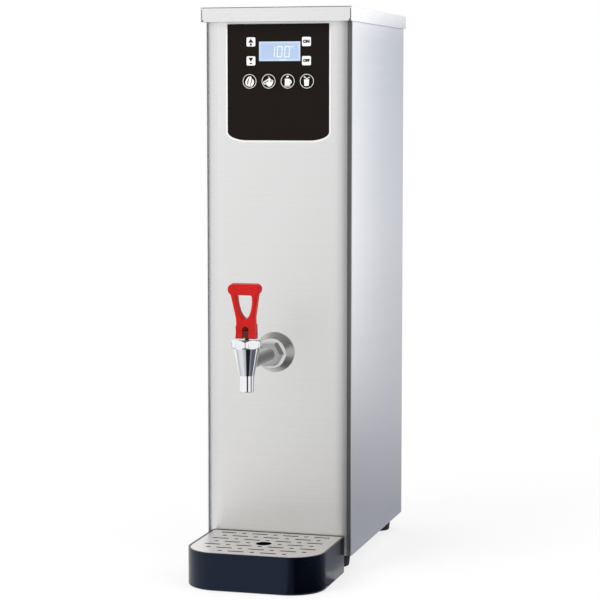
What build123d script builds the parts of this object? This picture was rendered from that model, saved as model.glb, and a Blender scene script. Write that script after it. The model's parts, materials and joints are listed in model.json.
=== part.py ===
from build123d import *
import math
import os

# A countertop water boiler in millimetres. The case is drawn with its front face on y = 0,
# its middle on x = 0 and the counter on z = 0, and the viewer stands on the side of -Y.
# At the end everything moves along Y, so that the origin is the middle of the footprint.

# Overrun of every cut, and the play between pieces that are put together
CUT = 1.0
PLAY = 0.3
FIT = 0.05

# Half the angle between two corners of a hexagon, in degrees
HEX_HALF = 30.0

# Case
HEIGHT = 717.0
CASE_W = 192.0
CASE_D = 296.0
FOOT_H = 21.6
SHEET = 1.2
BEND_R = 2.4
BEAD_W = 1.6
SEAM = 0.5
FLANGE_W = 14.0
ROLL_R = 56.0
ROLL_ANGLE = 19.0
RETURN_D = 10.0
BASE_T = 1.5
BASE_RIM = 16.0

# Lid, which overhangs the front like a visor
LID_SKIRT = 18.2
LID_FRONT = 13.0
LID_SIDE = 2.4
LID_REAR = 1.2
LID_EDGE_R = 1.6
LID_HEM_GAP = 1.5
LID_SLIT = 0.9
LID_NOTCH = 2.4

# Screws of the case, and the louvres of the rear panel
SCREW_R = 2.0
SCREW_HEAD_R = 3.8
SCREW_HEAD_H = 2.2
SCREW_L = 9.0
SCREW_ROWS = 3
SCREW_END_GAP = 42.0
LID_SCREW_X = 60.0
LOUVRES = 8
LOUVRE_L = 90.0
LOUVRE_W = 4.0
LOUVRE_PITCH = 12.0
LOUVRE_DROP = 62.0

# Feet
FOOT_TOP_R = 17.0
FOOT_BOTTOM_R = 14.5
FOOT_EDGE_R = 2.5
FOOT_X = 69.0
FOOT_FRONT = 38.0
FOOT_REAR = 26.0
FOOT_RECESS_R = 6.5
FOOT_WEB = 7.0
FOOT_SCREW_R = 2.5
FOOT_HEAD_R = 5.0
FOOT_HEAD_H = 3.2
FOOT_NUT_H = 4.0
FOOT_NUT_AF = 8.0

# Control panel: white carrier with a black overlay on it, both cut round the keys
PANEL_W = 133.0
PANEL_H = 146.1
PANEL_DROP = 2.6
PANEL_SHOULDER = 10.9
PANEL_FLAT = 82.0
BORDER = 2.0
BORDER_TOP = 1.2
CARRIER_T = 0.8
OVERLAY_T = 0.6
LCD_W = 54.0
LCD_H = 24.5
LCD_X = 2.2
LENS_T = 1.4
LENS_PROUD = 0.2
LCD_BEZEL = 0.8
KEY_W = 11.5
KEY_CORNER = 1.6
KEY_X = 36.3
KEY_MID = 1.0
KEY_ROW_1 = 22.4
KEY_ROW_2 = 46.2
ROUND_KEY_R = 9.9
ROUND_ROW = 71.8
ROUND_PITCH = 25.0
ROUND_MID = 0.4
KEY_PROUD = 0.8
KEY_TRAVEL = 0.6
KEY_LIP = 0.8
KEY_LIP_T = 1.0
KEY_STEM_R = 2.0
BOARD_GAP = 12.0
BOARD_T = 1.6
BOARD_SIDE = 5.5
BOARD_TOP = 9.0
BOARD_BELOW = 16.0
SWITCH_W = 6.0
SWITCH_H = 3.5
SWITCH_TIP_R = 1.7
SWITCH_TIP_H = 1.3
PILLAR_R = 2.6
PILLAR_INSET = 5.0

# Drip tray and its grate
TRAY_W = 176.0
TRAY_D = 139.0
TRAY_H = 47.2
TRAY_GAP = 0.5
TRAY_FRONT_R = 44.0
TRAY_REAR_R = 5.0
TRAY_WALL = 2.4
TRAY_LEDGE = 2.4
TRAY_FLOOR = 3.0
TRAY_EDGE_R = 2.0
GRATE_T = 1.2
GRATE_DROP = 0.4
GRATE_PLAY = 0.4
SLOT_L = 21.0
DOT_L = 6.2
SLOT_W = 4.0
SLOT_ROWS = 7
SLOT_FIRST_ROW = 16.5
SLOT_ROW_PITCH = 17.3
SLOT_PITCH = 41.3
SLOT_EDGE = 12.0
FINGER_HOLE_R = 10.0

# Tap: body on a shank, bonnet, stem with its cup, and the lever's cam foot
TAP_Z = 281.0
TAP_REACH = 124.0
TAP_X = -4.5
SHANK_R = 9.0
SHANK_BORE_R = 5.0
SPOUT_R = 8.45
SPOUT_L = 20.1
SPOUT_BORE_R = 5.5
SPOUT_EDGE = 0.8
CONE_LOW_R = 9.2
CONE_TOP_R = 16.2
CONE_BELOW = 14.3
CONE_ABOVE = 19.3
TAP_WALL = 2.0
SEAT_BELOW = 9.6
BONNET_R = 20.5
BONNET_H = 11.3
BONNET_EDGE_R = 17.4
BONNET_EDGE_H = 3.0
BONNET_TURN = 11.0
BONNET_SKIRT = 10.0
BONNET_ROOF = 3.6
POCKET_R = 8.4
STEM_R = 2.5
COLLAR_R = 7.4
COLLAR_T = 2.0
COLLAR_Z = 7.0
CUP_R = 6.8
CUP_T = 5.0
CUP_NECK_R = 4.4
CUP_NECK_H = 8.0
STEM_IN_CUP = 6.0
SPRING_WIRE_R = 0.6
SPRING_R = 6.2
SPRING_TURNS = 5
LIFT = 2.0
LEVER_SWING = 35.0
PIVOT_H = 8.0
EYE_R = 3.9
EYE_BASE = 2.2
PIN_R = 2.0
FORK_SLOT = 8.0
FORK_DEPTH = 7.6
CAM_STEPS = 4

# Lever: a flat loop with a wider rounded head
LEVER_T = 12.0
LEVER_BASE_W = 24.4
LEVER_WAIST_W = 23.8
LEVER_NECK_W = 37.0
LEVER_HEAD_W = 41.6
LEVER_HEAD_H = 13.6
LEVER_HEAD_R = 6.4
LEVER_TOP = 60.6
LEVER_WAIST = 18.0
LEVER_LEAN = 8.0
LEVER_NECK_R = 3.0
LEVER_WAIST_R = 24.0
WINDOW_TOP_W = 18.8
WINDOW_H = 29.6
WINDOW_CORNER_R = 2.4
LEVER_EDGE_R = 2.6
FOOT_BACK_R = 2.0

# Escutcheon, nut and what clamps the shank inside
ROSE_R = 25.7
ROSE_RIM_H = 2.6
ROSE_FRONT_R = 19.2
ROSE_D = 16.0
ROSE_WALL = 2.0
ROSE_EDGE_R = 1.2
NUT_AF = 28.5
NUT_L = 18.0
NUT_CHAMFER = 2.0
SEAL_T = 2.0
SEAL_R = 15.0
SPACER_R = 13.0
LOCKNUT_AF = 27.0
LOCKNUT_L = 8.0
SHANK_END = 3.0

# Tank and its lid
TANK_SIDE_GAP = 20.0
TANK_FRONT_GAP = 32.0
TANK_REAR_GAP = 62.0
TANK_RAISE = 94.0
HEADROOM = 196.0
TANK_T = 1.0
TANK_R = 18.0
TANK_FLANGE = 7.0
GASKET_T = 3.0
TANK_LID_T = 1.5
JACKET_T = 12.0
STAND_T = 1.5
STAND_W = 120.0
STAND_FOOT = 22.0
STAND_INSET_SHARE = 0.22
LID_BOLT_R = 2.0
LID_BOLT_H = 3.0
LID_BOLT_AF = 7.0

# Heater, probes and thermostat
HEATER_R = 28.0
HEATER_T = 5.0
HEATER_PLUG_R = 15.5
HEATER_PLUG_L = 10.0
HEATER_NUT_R = 21.0
HEATER_NUT_L = 6.0
ELEMENT_R = 4.0
ELEMENT_H = 150.0
ELEMENT_EDGE = 2.0
TERMINAL_R = 2.5
TERMINAL_L = 14.0
PROBE_R = 3.0
PROBE_L = 230.0
PROBE_HEAD_R = 8.0
PROBE_HEAD_H = 9.0
LEVEL_ROD_R = 1.5
LEVEL_RODS = 3
LEVEL_SHORTEST = 40.0
LEVEL_STEP = 60.0
LEVEL_PITCH = 22.0
BUSH_R = 6.0
BUSH_H = 10.0
CUTOUT_R = 12.5
CUTOUT_H = 9.0
RESET_R = 4.0

# Water and power at the rear
PORT_Z = 62.0
PORT_PITCH = 52.0
INLET_R = 13.2
INLET_BORE_R = 6.0
INLET_L = 18.0
NECK_L = 1.0
NECK_CUT = 0.6
PORT_FLANGE_R = 18.0
PORT_FLANGE_T = 3.0
VALVE_R = 13.0
VALVE_L = 34.0
COIL_W = 24.0
COIL_H = 30.0
BARB_R = 4.0
BARB_BORE_R = 2.6
BARB_L = 16.0
BARB_SEAT_R = 7.0
HOSE_WALL = 2.0
HOSE_PLAY = 0.1
HOSE_RISE = 66.0
HOSE_BEND_R = 22.0
SPIGOT_Y_SHARE = 0.78
OUTLET_R = 8.0
ELBOW_R = 10.0
GLAND_R = 10.0
GLAND_NUT_AF = 26.0
GLAND_NUT_L = 7.0
GLAND_DOME_L = 9.0
GLAND_BORE_R = 4.75
GLAND_TOP_R = 6.25
GLAND_TAIL = 10.0

# Power board on the rear panel
POWER_W = 120.0
POWER_H = 76.0
POWER_GAP = 9.0
POWER_TOP_GAP = 14.0
RELAY_W = 22.0
RELAY_D = 16.0
RELAY_H = 28.0
CORE_W = 36.0
CORE_D = 28.0
CORE_H = 34.0
BLOCK_W = 58.0
BLOCK_D = 14.0
BLOCK_H = 16.0
BOARD_EDGE = 4.0
LOOM_R = 3.0
LOOM_SAG = 14.0
LOOM_BEND_R = 24.0
LOOM_X_SHARE = 0.3

# Places worked out from the sizes above
HALF_W = CASE_W / 2
CASE_TOP = HEIGHT - SHEET
FACE_HALF = HALF_W - BEAD_W - SEAM
FLANGE_X = HALF_W - FLANGE_W
ROLL_W = ROLL_R * math.sin(math.radians(ROLL_ANGLE))
ROLL_BACK = ROLL_R - (ROLL_R - SHEET) * math.cos(math.radians(ROLL_ANGLE)) + FIT
FLAT_HALF = FACE_HALF - ROLL_W
BASE_Z = FOOT_H + SHEET
PANEL_Z = HEIGHT - LID_SKIRT - PANEL_DROP
SKIN = CARRIER_T + OVERLAY_T
BOARD_Y = SHEET + BOARD_GAP
LCD_Z = PANEL_Z - (KEY_ROW_1 + KEY_ROW_2) / 2
BOARD_LOW = PANEL_Z - ROUND_ROW - BOARD_BELOW
BOARD_HIGH = PANEL_Z - BOARD_TOP
BOARD_HALF = PANEL_W / 2 - BOARD_SIDE
TRAY_FRONT = -TRAY_GAP - TRAY_D
LEDGE_Z = TRAY_H - GRATE_DROP - GRATE_T
BONNET_Z = TAP_Z + CONE_ABOVE
BONNET_TOP = BONNET_Z + BONNET_H
POCKET_TOP = BONNET_TOP - BONNET_ROOF
SEAT_Z = TAP_Z - SEAT_BELOW
COLLAR_LOW = TAP_Z + COLLAR_Z
PIVOT_Z = BONNET_TOP + PIVOT_H
CAM_H = PIVOT_H - PLAY
CAM_RATE = LIFT / math.radians(LEVER_SWING)
TANK_Y = TANK_FRONT_GAP
TANK_BACK = CASE_D - TANK_REAR_GAP
TANK_MID = (TANK_Y + TANK_BACK) / 2
TANK_HALF = HALF_W - TANK_SIDE_GAP
TANK_Z = BASE_Z + BASE_T + TANK_RAISE
TANK_TOP = CASE_TOP - HEADROOM
TANK_LID_Z = TANK_TOP + GASKET_T
TANK_LID_TOP = TANK_LID_Z + TANK_LID_T
PORT_X = {"inlet": -PORT_PITCH, "overflow": 0, "gland": PORT_PITCH}
PORT_INNER = CASE_D - SHEET - PORT_FLANGE_T
SPIGOT_Y = TANK_Y + (TANK_BACK - TANK_Y) * SPIGOT_Y_SHARE
POWER_Y = CASE_D - SHEET - POWER_GAP
POWER_FACE = POWER_Y - BOARD_T
POWER_HIGH = CASE_TOP - POWER_TOP_GAP
POWER_LOW = POWER_HIGH - POWER_H
LOOM_X = POWER_W * LOOM_X_SHARE


def block(low, high):
    """A box between two corners."""
    size = [b - a for a, b in zip(low, high)]
    return Pos(*low) * Box(*size, align=(Align.MIN, Align.MIN, Align.MIN))


def rod_z(x, y, low, high, radius):
    """An upright round bar."""
    return Pos(x, y, low) * Cylinder(radius, high - low, align=(Align.CENTER, Align.CENTER, Align.MIN))


def rod_y(x, z, low, high, radius):
    """A round bar along Y."""
    bar = Cylinder(radius, high - low, align=(Align.CENTER, Align.CENTER, Align.MIN))
    return Pos(x, low, z) * Rot(-90, 0, 0) * bar


def rod_x(y, z, low, high, radius):
    """A round bar along X."""
    bar = Cylinder(radius, high - low, align=(Align.CENTER, Align.CENTER, Align.MIN))
    return Pos(low, y, z) * Rot(0, 90, 0) * bar


def hexagon(across_flats, low, high):
    """An upright hexagonal bar with its points on X."""
    return Pos(0, 0, low) * extrude(RegularPolygon(across_flats / 2, 6, major_radius=False), high - low)


def turned(points):
    """The solid that a closed (radius, height) outline sweeps about the Z axis."""
    return revolve(Plane.XZ * make_face(Polyline(*points, close=True)), Axis.Z)


def layer(sketch, start, thick):
    """A sheet over the front face: its back lies start in front of the case."""
    return extrude(Plane.XZ.offset(start) * sketch, thick)


def outward(part):
    """Turns a piece drawn along +Z so that it points out of the front at the tap's height."""
    return Pos(TAP_X, 0, TAP_Z) * Rot(90, 0, 0) * part


def at_tap(part):
    """Moves a piece drawn about the Z axis to the tap's own axis."""
    return Pos(TAP_X, -TAP_REACH, 0) * part


def mirrored(part):
    return mirror(part, Plane.YZ)


# Case


def side_panel():
    """The right side: a folded pan, set back at front and rear to take the two panels."""
    pan = block((FLANGE_X, 0, FOOT_H), (HALF_W, CASE_D, CASE_TOP))
    upright = pan.edges().filter_by(Axis.Z).group_by(Axis.X)[-1]
    pan = fillet(upright, BEND_R)
    pan -= block(
        (FLANGE_X - CUT, ROLL_BACK + SHEET, FOOT_H + SHEET),
        (HALF_W - SHEET, CASE_D - 2 * SHEET, CASE_TOP - SHEET),
    )
    for low, high in ((-CUT, ROLL_BACK), (CASE_D - SHEET, CASE_D + CUT)):
        pan -= block((FLANGE_X - CUT, low, FOOT_H - CUT), (HALF_W - BEAD_W, high, CASE_TOP + CUT))
    for z in panel_screw_heights():
        pan -= rod_y(panel_screw_x(), z, CASE_D - 2 * SHEET - CUT, CASE_D, SCREW_R + FIT)
    return pan


def panel_screw_x():
    return (FLANGE_X + HALF_W - BEAD_W) / 2


def panel_screw_heights():
    low, high = FOOT_H + SCREW_END_GAP, CASE_TOP - SCREW_END_GAP
    return [low + (high - low) * i / (SCREW_ROWS - 1) for i in range(SCREW_ROWS)]


def rolled_edge():
    """The right edge of the front panel, bent back on a wide radius."""
    bend = Pos(FLAT_HALF, ROLL_R) * Rot(0, 0, -90)
    arc = CenterArc((0, 0), ROLL_R - SHEET / 2, 0, ROLL_ANGLE)
    strip = trace(arc, SHEET)
    return Pos(0, 0, FOOT_H) * extrude(bend * strip, CASE_TOP - FOOT_H)


def front_panel():
    """The face between the beads of the two sides, with rolled edges and a return at each end."""
    plate = block((-FLAT_HALF, 0, FOOT_H), (FLAT_HALF, SHEET, CASE_TOP))
    plate += rolled_edge() + mirrored(rolled_edge())
    for low in (FOOT_H, CASE_TOP - SHEET):
        plate += block((-FLAT_HALF, SHEET, low), (FLAT_HALF, SHEET + RETURN_D, low + SHEET))
    plate -= layer(key_openings(), -SHEET - CUT, SHEET + 2 * CUT)
    plate -= layer(lcd_shape(LCD_BEZEL + PLAY), -SHEET - CUT, SHEET + 2 * CUT)
    plate -= rod_y(TAP_X, TAP_Z, -CUT, SHEET + CUT, SHANK_R + PLAY)
    return plate


def rear_panel():
    plate = block((-FACE_HALF, CASE_D - SHEET, FOOT_H), (FACE_HALF, CASE_D, CASE_TOP))
    near, far = CASE_D - SHEET - CUT, CASE_D + CUT
    slots = Sketch() + [
        Pos(0, HEIGHT - LOUVRE_DROP - i * LOUVRE_PITCH) * SlotOverall(LOUVRE_L, LOUVRE_W)
        for i in range(LOUVRES)
    ]
    plate -= layer(slots, -far, far - near)
    for name, radius in (("inlet", INLET_R), ("overflow", OUTLET_R), ("gland", GLAND_R)):
        plate -= rod_y(PORT_X[name], PORT_Z, near, far, radius + PLAY)
    for side in (-1, 1):
        plate -= rod_y(side * LID_SCREW_X, lid_screw_z(), near, far, SCREW_R + FIT)
        for z in panel_screw_heights():
            plate -= rod_y(side * panel_screw_x(), z, near, far, SCREW_R + FIT)
    return plate


def lid_screw_z():
    return HEIGHT - LID_SKIRT / 2


def lid():
    """A folded cover with a skirt, open slits at its front corners and a hem under the visor."""
    half, front, back = HALF_W + LID_SIDE, -LID_FRONT, CASE_D + LID_REAR
    low = HEIGHT - LID_SKIRT
    cover = block((-half, front, low), (half, back, HEIGHT))
    cover = fillet(cover.faces().sort_by(Axis.Z)[-1].edges(), LID_EDGE_R)
    cover -= block((SHEET - half, front + SHEET, low - CUT), (half - SHEET, back - SHEET, CASE_TOP))
    hem = half - SHEET - LID_NOTCH
    cover += block((-hem, front, low), (hem, -LID_HEM_GAP, low + SHEET))
    for side in (-1, 1):
        edge = side * (half - SHEET)
        near, far = sorted((edge, edge - side * LID_SLIT))
        cover -= block((near, front - CUT, low - CUT), (far, front + SHEET, CASE_TOP - LID_EDGE_R))
        near, far = sorted((edge, edge - side * LID_NOTCH))
        cover -= block((near, front - CUT, low - CUT), (far, front + SHEET + CUT, low + LID_NOTCH))
        cover -= rod_y(side * LID_SCREW_X, lid_screw_z(), back - SHEET - CUT, back + CUT, SCREW_R + FIT)
    return cover


def base_plate():
    """A tray of sheet on the sides' bottom flanges, with holes for the feet's screws."""
    half = HALF_W - SHEET - PLAY
    front, back = ROLL_BACK + SHEET + PLAY, CASE_D - 2 * SHEET - PLAY
    plate = block((-half, front, BASE_Z), (half, back, BASE_Z + BASE_RIM))
    plate -= block(
        (BASE_T - half, front + BASE_T, BASE_Z + BASE_T),
        (half - BASE_T, back - BASE_T, BASE_Z + BASE_RIM + CUT),
    )
    for x, y in foot_places():
        plate -= rod_z(x, y, BASE_Z - CUT, BASE_Z + BASE_T + CUT, FOOT_SCREW_R + FIT)
    return plate


def screw(x, z, seat, length):
    """A pan head screw driven from the rear: its head stands on the plane y = seat."""
    head = Pos(x, seat, z) * Rot(-90, 0, 0) * Cylinder(
        SCREW_HEAD_R, SCREW_HEAD_H, align=(Align.CENTER, Align.CENTER, Align.MIN)
    )
    head = fillet(head.edges().sort_by(Axis.Y)[-1], SCREW_HEAD_H / 2)
    return head + rod_y(x, z, seat - length, seat, SCREW_R)


def case_screws():
    group = []
    for side in (-1, 1):
        group.append(screw(side * LID_SCREW_X, lid_screw_z(), CASE_D + LID_REAR, SCREW_L))
        group += [screw(side * panel_screw_x(), z, CASE_D, SCREW_L) for z in panel_screw_heights()]
    return group


def foot_places():
    return [(sx * FOOT_X, y) for y in (FOOT_FRONT, CASE_D - FOOT_REAR) for sx in (-1, 1)]


def foot():
    """A tapered rubber foot with a rounded tread edge and a recess for its screw."""
    web = FOOT_H - FOOT_WEB
    body = turned([
        (FOOT_SCREW_R + PLAY, FOOT_H), (FOOT_TOP_R, FOOT_H), (FOOT_BOTTOM_R, 0),
        (FOOT_RECESS_R, 0), (FOOT_RECESS_R, web), (FOOT_SCREW_R + PLAY, web),
    ])
    tread = body.edges().filter_by(GeomType.CIRCLE).group_by(Axis.Z)[0].sort_by(SortBy.RADIUS)[-1]
    return fillet(tread, FOOT_EDGE_R)


def feet():
    return [Pos(x, y, 0) * foot() for x, y in foot_places()]


def foot_screws():
    """Screws up through the feet, each with its nut on the base plate."""
    group = []
    seat, plate = FOOT_H - FOOT_WEB, BASE_Z + BASE_T
    for x, y in foot_places():
        bolt = rod_z(x, y, seat - FOOT_HEAD_H, seat, FOOT_HEAD_R)
        bolt += rod_z(x, y, seat, plate + FOOT_NUT_H, FOOT_SCREW_R)
        bolt += Pos(x, y, 0) * hexagon(FOOT_NUT_AF, plate, plate + FOOT_NUT_H)
        group.append(bolt)
    return group


# Control panel


def panel_shape(grow, grow_top):
    """The panel's outline: straight sides, then flat elliptical curves into a straight foot."""
    half, flat = PANEL_W / 2 + grow, PANEL_FLAT / 2 + grow
    top, shoulder = PANEL_Z + grow_top, PANEL_Z - PANEL_H + PANEL_SHOULDER
    drop = PANEL_SHOULDER + grow
    sides = Polyline((-half, shoulder), (-half, top), (half, top), (half, shoulder))
    right = EllipticalCenterArc((flat, shoulder), half - flat, drop, start_angle=270)
    left = EllipticalCenterArc((-flat, shoulder), half - flat, drop, start_angle=180)
    return make_face([sides, right, left, Line((-flat, shoulder - drop), (flat, shoulder - drop))])


def lcd_shape(grow):
    return Pos(LCD_X, LCD_Z) * Rectangle(LCD_W + 2 * grow, LCD_H + 2 * grow)


def square_key(side, row, grow):
    width = KEY_W + 2 * grow
    return Pos(KEY_MID + side * KEY_X, PANEL_Z - row) * RectangleRounded(width, width, KEY_CORNER + grow)


ROUND_NAMES = ("key_bean", "key_hot_cup", "key_mug", "key_glass")


def round_key(name, grow):
    middle = (len(ROUND_NAMES) - 1) / 2
    x = ROUND_MID + (ROUND_NAMES.index(name) - middle) * ROUND_PITCH
    return Pos(x, PANEL_Z - ROUND_ROW) * Circle(ROUND_KEY_R + grow)


KEYS = {
    "key_up": lambda grow: square_key(-1, KEY_ROW_1, grow),
    "key_down": lambda grow: square_key(-1, KEY_ROW_2, grow),
    "key_on": lambda grow: square_key(1, KEY_ROW_1, grow),
    "key_off": lambda grow: square_key(1, KEY_ROW_2, grow),
    **{name: lambda grow, name=name: round_key(name, grow) for name in ROUND_NAMES},
}


def key_openings():
    return Sketch() + [shape(PLAY) for shape in KEYS.values()]


def panel_carrier():
    sheet = layer(panel_shape(BORDER, BORDER_TOP), 0, CARRIER_T)
    return sheet - layer(key_openings() + lcd_shape(LCD_BEZEL), -CUT, CARRIER_T + 2 * CUT)


def panel_overlay():
    sheet = layer(panel_shape(0, 0), CARRIER_T, OVERLAY_T)
    return sheet - layer(key_openings() + lcd_shape(0), CARRIER_T - CUT, OVERLAY_T + 2 * CUT)


def lens_back():
    return SKIN + LENS_PROUD - LENS_T


def display_window():
    """The clear plate of the display, standing just proud of the overlay."""
    return layer(lcd_shape(-FIT), lens_back(), LENS_T)


def lcd_module():
    return layer(lcd_shape(LCD_BEZEL - FIT), -BOARD_Y, BOARD_Y + lens_back())


def key_centre(shape):
    return shape(0).center()


def key(shape):
    """A cap through the panel, a lip that holds it behind the sheet, and a stem to its switch."""
    lip = SHEET + PLAY
    cap = layer(shape(0), -lip, lip + SKIN + KEY_PROUD)
    front = cap.faces().sort_by(Axis.Y)[0]
    cap = fillet(front.edges(), KEY_PROUD / 2)
    cap += layer(shape(KEY_LIP), -lip - KEY_LIP_T, KEY_LIP_T)
    place = key_centre(shape)
    return cap + rod_y(place.X, place.Y, lip + KEY_LIP_T, stem_end(), KEY_STEM_R)


def stem_end():
    return BOARD_Y - SWITCH_H - SWITCH_TIP_H - KEY_TRAVEL - PLAY


def key_switches():
    """One small push switch on the board behind each key."""
    group = []
    for shape in KEYS.values():
        place, half = key_centre(shape), SWITCH_W / 2
        face = BOARD_Y - SWITCH_H
        body = block((place.X - half, face, place.Y - half), (place.X + half, BOARD_Y, place.Y + half))
        group.append(body + rod_y(place.X, place.Y, face - SWITCH_TIP_H, face, SWITCH_TIP_R))
    return group


def control_board():
    return block((-BOARD_HALF, BOARD_Y, BOARD_LOW), (BOARD_HALF, BOARD_Y + BOARD_T, BOARD_HIGH))


def board_pillars():
    """Four pillars that hold the control board behind the front panel."""
    return [
        rod_y(side * (BOARD_HALF - PILLAR_INSET), z, SHEET, BOARD_Y, PILLAR_R)
        for side in (-1, 1)
        for z in (BOARD_LOW + PILLAR_INSET, BOARD_HIGH - PILLAR_INSET)
    ]


# Drip tray


def tray_shape(inset):
    """The tray's plan, drawn in by inset: wide round corners in front and small ones behind."""
    half, back, front = TRAY_W / 2, -TRAY_GAP, TRAY_FRONT
    plan = make_face(Polyline((-half, back), (half, back), (half, front), (-half, front), close=True))
    corners = plan.vertices().group_by(Axis.Y)
    plan = fillet(corners[0], TRAY_FRONT_R)
    plan = fillet(plan.vertices().group_by(Axis.Y)[-1], TRAY_REAR_R)
    return offset(plan, -inset) if inset else plan


def drip_tray():
    tray = extrude(tray_shape(0), TRAY_H)
    tray = fillet(tray.faces().sort_by(Axis.Z)[0].edges(), TRAY_EDGE_R)
    tray -= Pos(0, 0, TRAY_FLOOR) * extrude(tray_shape(TRAY_WALL + TRAY_LEDGE), TRAY_H)
    return tray - Pos(0, 0, LEDGE_Z) * extrude(tray_shape(TRAY_WALL), TRAY_H)


def tray_half_width(y):
    """Half the tray's width at y, narrower where its front corners are round."""
    straight = TRAY_FRONT + TRAY_FRONT_R
    if y >= straight:
        return TRAY_W / 2
    return TRAY_W / 2 - TRAY_FRONT_R + math.sqrt(max(TRAY_FRONT_R**2 - (straight - y) ** 2, 0))


def slot_fits(x, y, length):
    """True where a slot keeps its margin to the tray's edge and clears the finger hole."""
    outer = abs(x) + length / 2 + SLOT_EDGE
    room = FINGER_HOLE_R + SLOT_W
    near_hole = abs(y - grate_hole_y()) < room and abs(x) - length / 2 < room
    return outer <= tray_half_width(y) and not near_hole


def grate_hole_y():
    """The finger hole sits in the middle row of slots."""
    return -SLOT_FIRST_ROW - (SLOT_ROWS // 2) * SLOT_ROW_PITCH


def grate_slots():
    """Rows of long slots with short ones between them, each row shifted by half a pitch."""
    slots = []
    for row in range(SLOT_ROWS):
        y = -SLOT_FIRST_ROW - row * SLOT_ROW_PITCH
        steps = int(TRAY_W / SLOT_PITCH) + 1
        for step in range(-steps, steps + 1):
            x = step * SLOT_PITCH / 2
            length = SLOT_L if (step + row) % 2 else DOT_L
            if slot_fits(x, y, length):
                slots.append(Pos(x, y) * SlotOverall(length, SLOT_W))
    return Sketch() + slots


def drip_grate():
    plate = tray_shape(TRAY_WALL + GRATE_PLAY) - grate_slots()
    plate -= Pos(0, grate_hole_y()) * Circle(FINGER_HOLE_R)
    return Pos(0, 0, LEDGE_Z) * extrude(plate, GRATE_T)


# Tap


def cone_radius(z):
    """The tap body's outer radius at height z."""
    low, high = TAP_Z - CONE_BELOW, BONNET_Z
    return CONE_LOW_R + (CONE_TOP_R - CONE_LOW_R) * (z - low) / (high - low)


def spout_low():
    return TAP_Z - CONE_BELOW - SPOUT_L


def valve_chamber():
    """The room inside the cone, above the seat and the spout's bore."""
    skirt_z = BONNET_Z - BONNET_SKIRT - TAP_WALL
    wide, narrow = cone_radius(skirt_z) - TAP_WALL, cone_radius(SEAT_Z) - TAP_WALL
    low, high = spout_low() - CUT, BONNET_Z + CUT
    return turned([
        (0, low), (SPOUT_BORE_R, low), (SPOUT_BORE_R, SEAT_Z), (narrow, SEAT_Z),
        (wide, skirt_z), (wide, high), (0, high),
    ])


def tap_body():
    """The cone with its valve chamber and spout, bored for the shank that screws into it."""
    low, foot_z = TAP_Z - CONE_BELOW, spout_low()
    shape = turned([
        (0, foot_z), (SPOUT_R - SPOUT_EDGE, foot_z), (SPOUT_R, foot_z + SPOUT_EDGE), (SPOUT_R, low),
        (CONE_LOW_R, low), (CONE_TOP_R, BONNET_Z), (0, BONNET_Z),
    ])
    return at_tap(shape - valve_chamber() - rod_y(0, TAP_Z, 0, CONE_TOP_R, SHANK_R + FIT))


def tap_shank():
    """The hollow shank from the valve chamber through the front panel into the tank."""
    end = TAP_REACH + TANK_Y + TANK_T + LOCKNUT_L + SHANK_END
    shank = rod_y(0, TAP_Z, 0, end, SHANK_R) - rod_y(0, TAP_Z, -CUT, end + CUT, SHANK_BORE_R)
    return at_tap(shank - valve_chamber())


def bonnet_skirt_radius():
    return cone_radius(BONNET_Z - BONNET_SKIRT - TAP_WALL) - TAP_WALL - FIT


def tap_bonnet():
    """A hexagon with round chamfers, a skirt that screws into the body and the spring's pocket."""
    nut = hexagon(2 * BONNET_R * math.cos(math.radians(HEX_HALF)), BONNET_Z, BONNET_TOP)
    nut = Rot(0, 0, BONNET_TURN - HEX_HALF) * nut
    nut &= turned([
        (0, BONNET_Z), (BONNET_EDGE_R, BONNET_Z), (BONNET_R, BONNET_Z + BONNET_EDGE_H),
        (BONNET_R, BONNET_TOP - BONNET_EDGE_H), (BONNET_EDGE_R, BONNET_TOP), (0, BONNET_TOP),
    ])
    skirt = BONNET_Z - BONNET_SKIRT
    nut += rod_z(0, 0, skirt, BONNET_Z, bonnet_skirt_radius())
    nut -= rod_z(0, 0, skirt - CUT, POCKET_TOP, POCKET_R)
    return at_tap(nut - rod_z(0, 0, skirt, BONNET_TOP + CUT, STEM_R + PLAY))


def tap_stem():
    """The rod that lifts the cup, with the spring's collar and the flat eye of the lever's pin."""
    stem = rod_z(0, 0, SEAT_Z + CUP_T + CUP_NECK_H - STEM_IN_CUP, PIVOT_Z, STEM_R)
    stem += rod_z(0, 0, COLLAR_LOW, COLLAR_LOW + COLLAR_T, COLLAR_R)
    half = FORK_SLOT / 2 - PLAY
    eye = rod_x(0, PIVOT_Z, -half, half, EYE_R)
    eye += block((-half, -EYE_R, BONNET_TOP + EYE_BASE), (half, EYE_R, PIVOT_Z))
    return at_tap(stem + eye - rod_x(0, PIVOT_Z, -half - CUT, half + CUT, PIN_R + FIT))


def seat_cup():
    """The soft cup that closes the seat, pushed on the stem's lower end."""
    top = SEAT_Z + CUP_T + CUP_NECK_H
    cup = rod_z(0, 0, SEAT_Z, SEAT_Z + CUP_T, CUP_R) + rod_z(0, 0, SEAT_Z, top, CUP_NECK_R)
    return at_tap(cup - rod_z(0, 0, top - STEM_IN_CUP, top + CUT, STEM_R + FIT))


def tap_spring():
    """The coil between the collar and the roof of the bonnet's pocket."""
    low, high = COLLAR_LOW + COLLAR_T + SPRING_WIRE_R + FIT, POCKET_TOP - SPRING_WIRE_R - FIT
    path = Pos(0, 0, low) * Helix((high - low) / SPRING_TURNS, high - low, SPRING_R)
    wire = Plane(path @ 0, z_dir=path % 0) * Circle(SPRING_WIRE_R)
    return at_tap(sweep(wire, path=path, is_frenet=True))


def cam_point(turn):
    """The foot's outline from the pivot, where it touches after the lever has turned so far."""
    reach = CAM_H + CAM_RATE * turn
    y = -reach * math.sin(turn) - CAM_RATE * math.cos(turn)
    z = -reach * math.cos(turn) + CAM_RATE * math.sin(turn)
    return y, z


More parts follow.
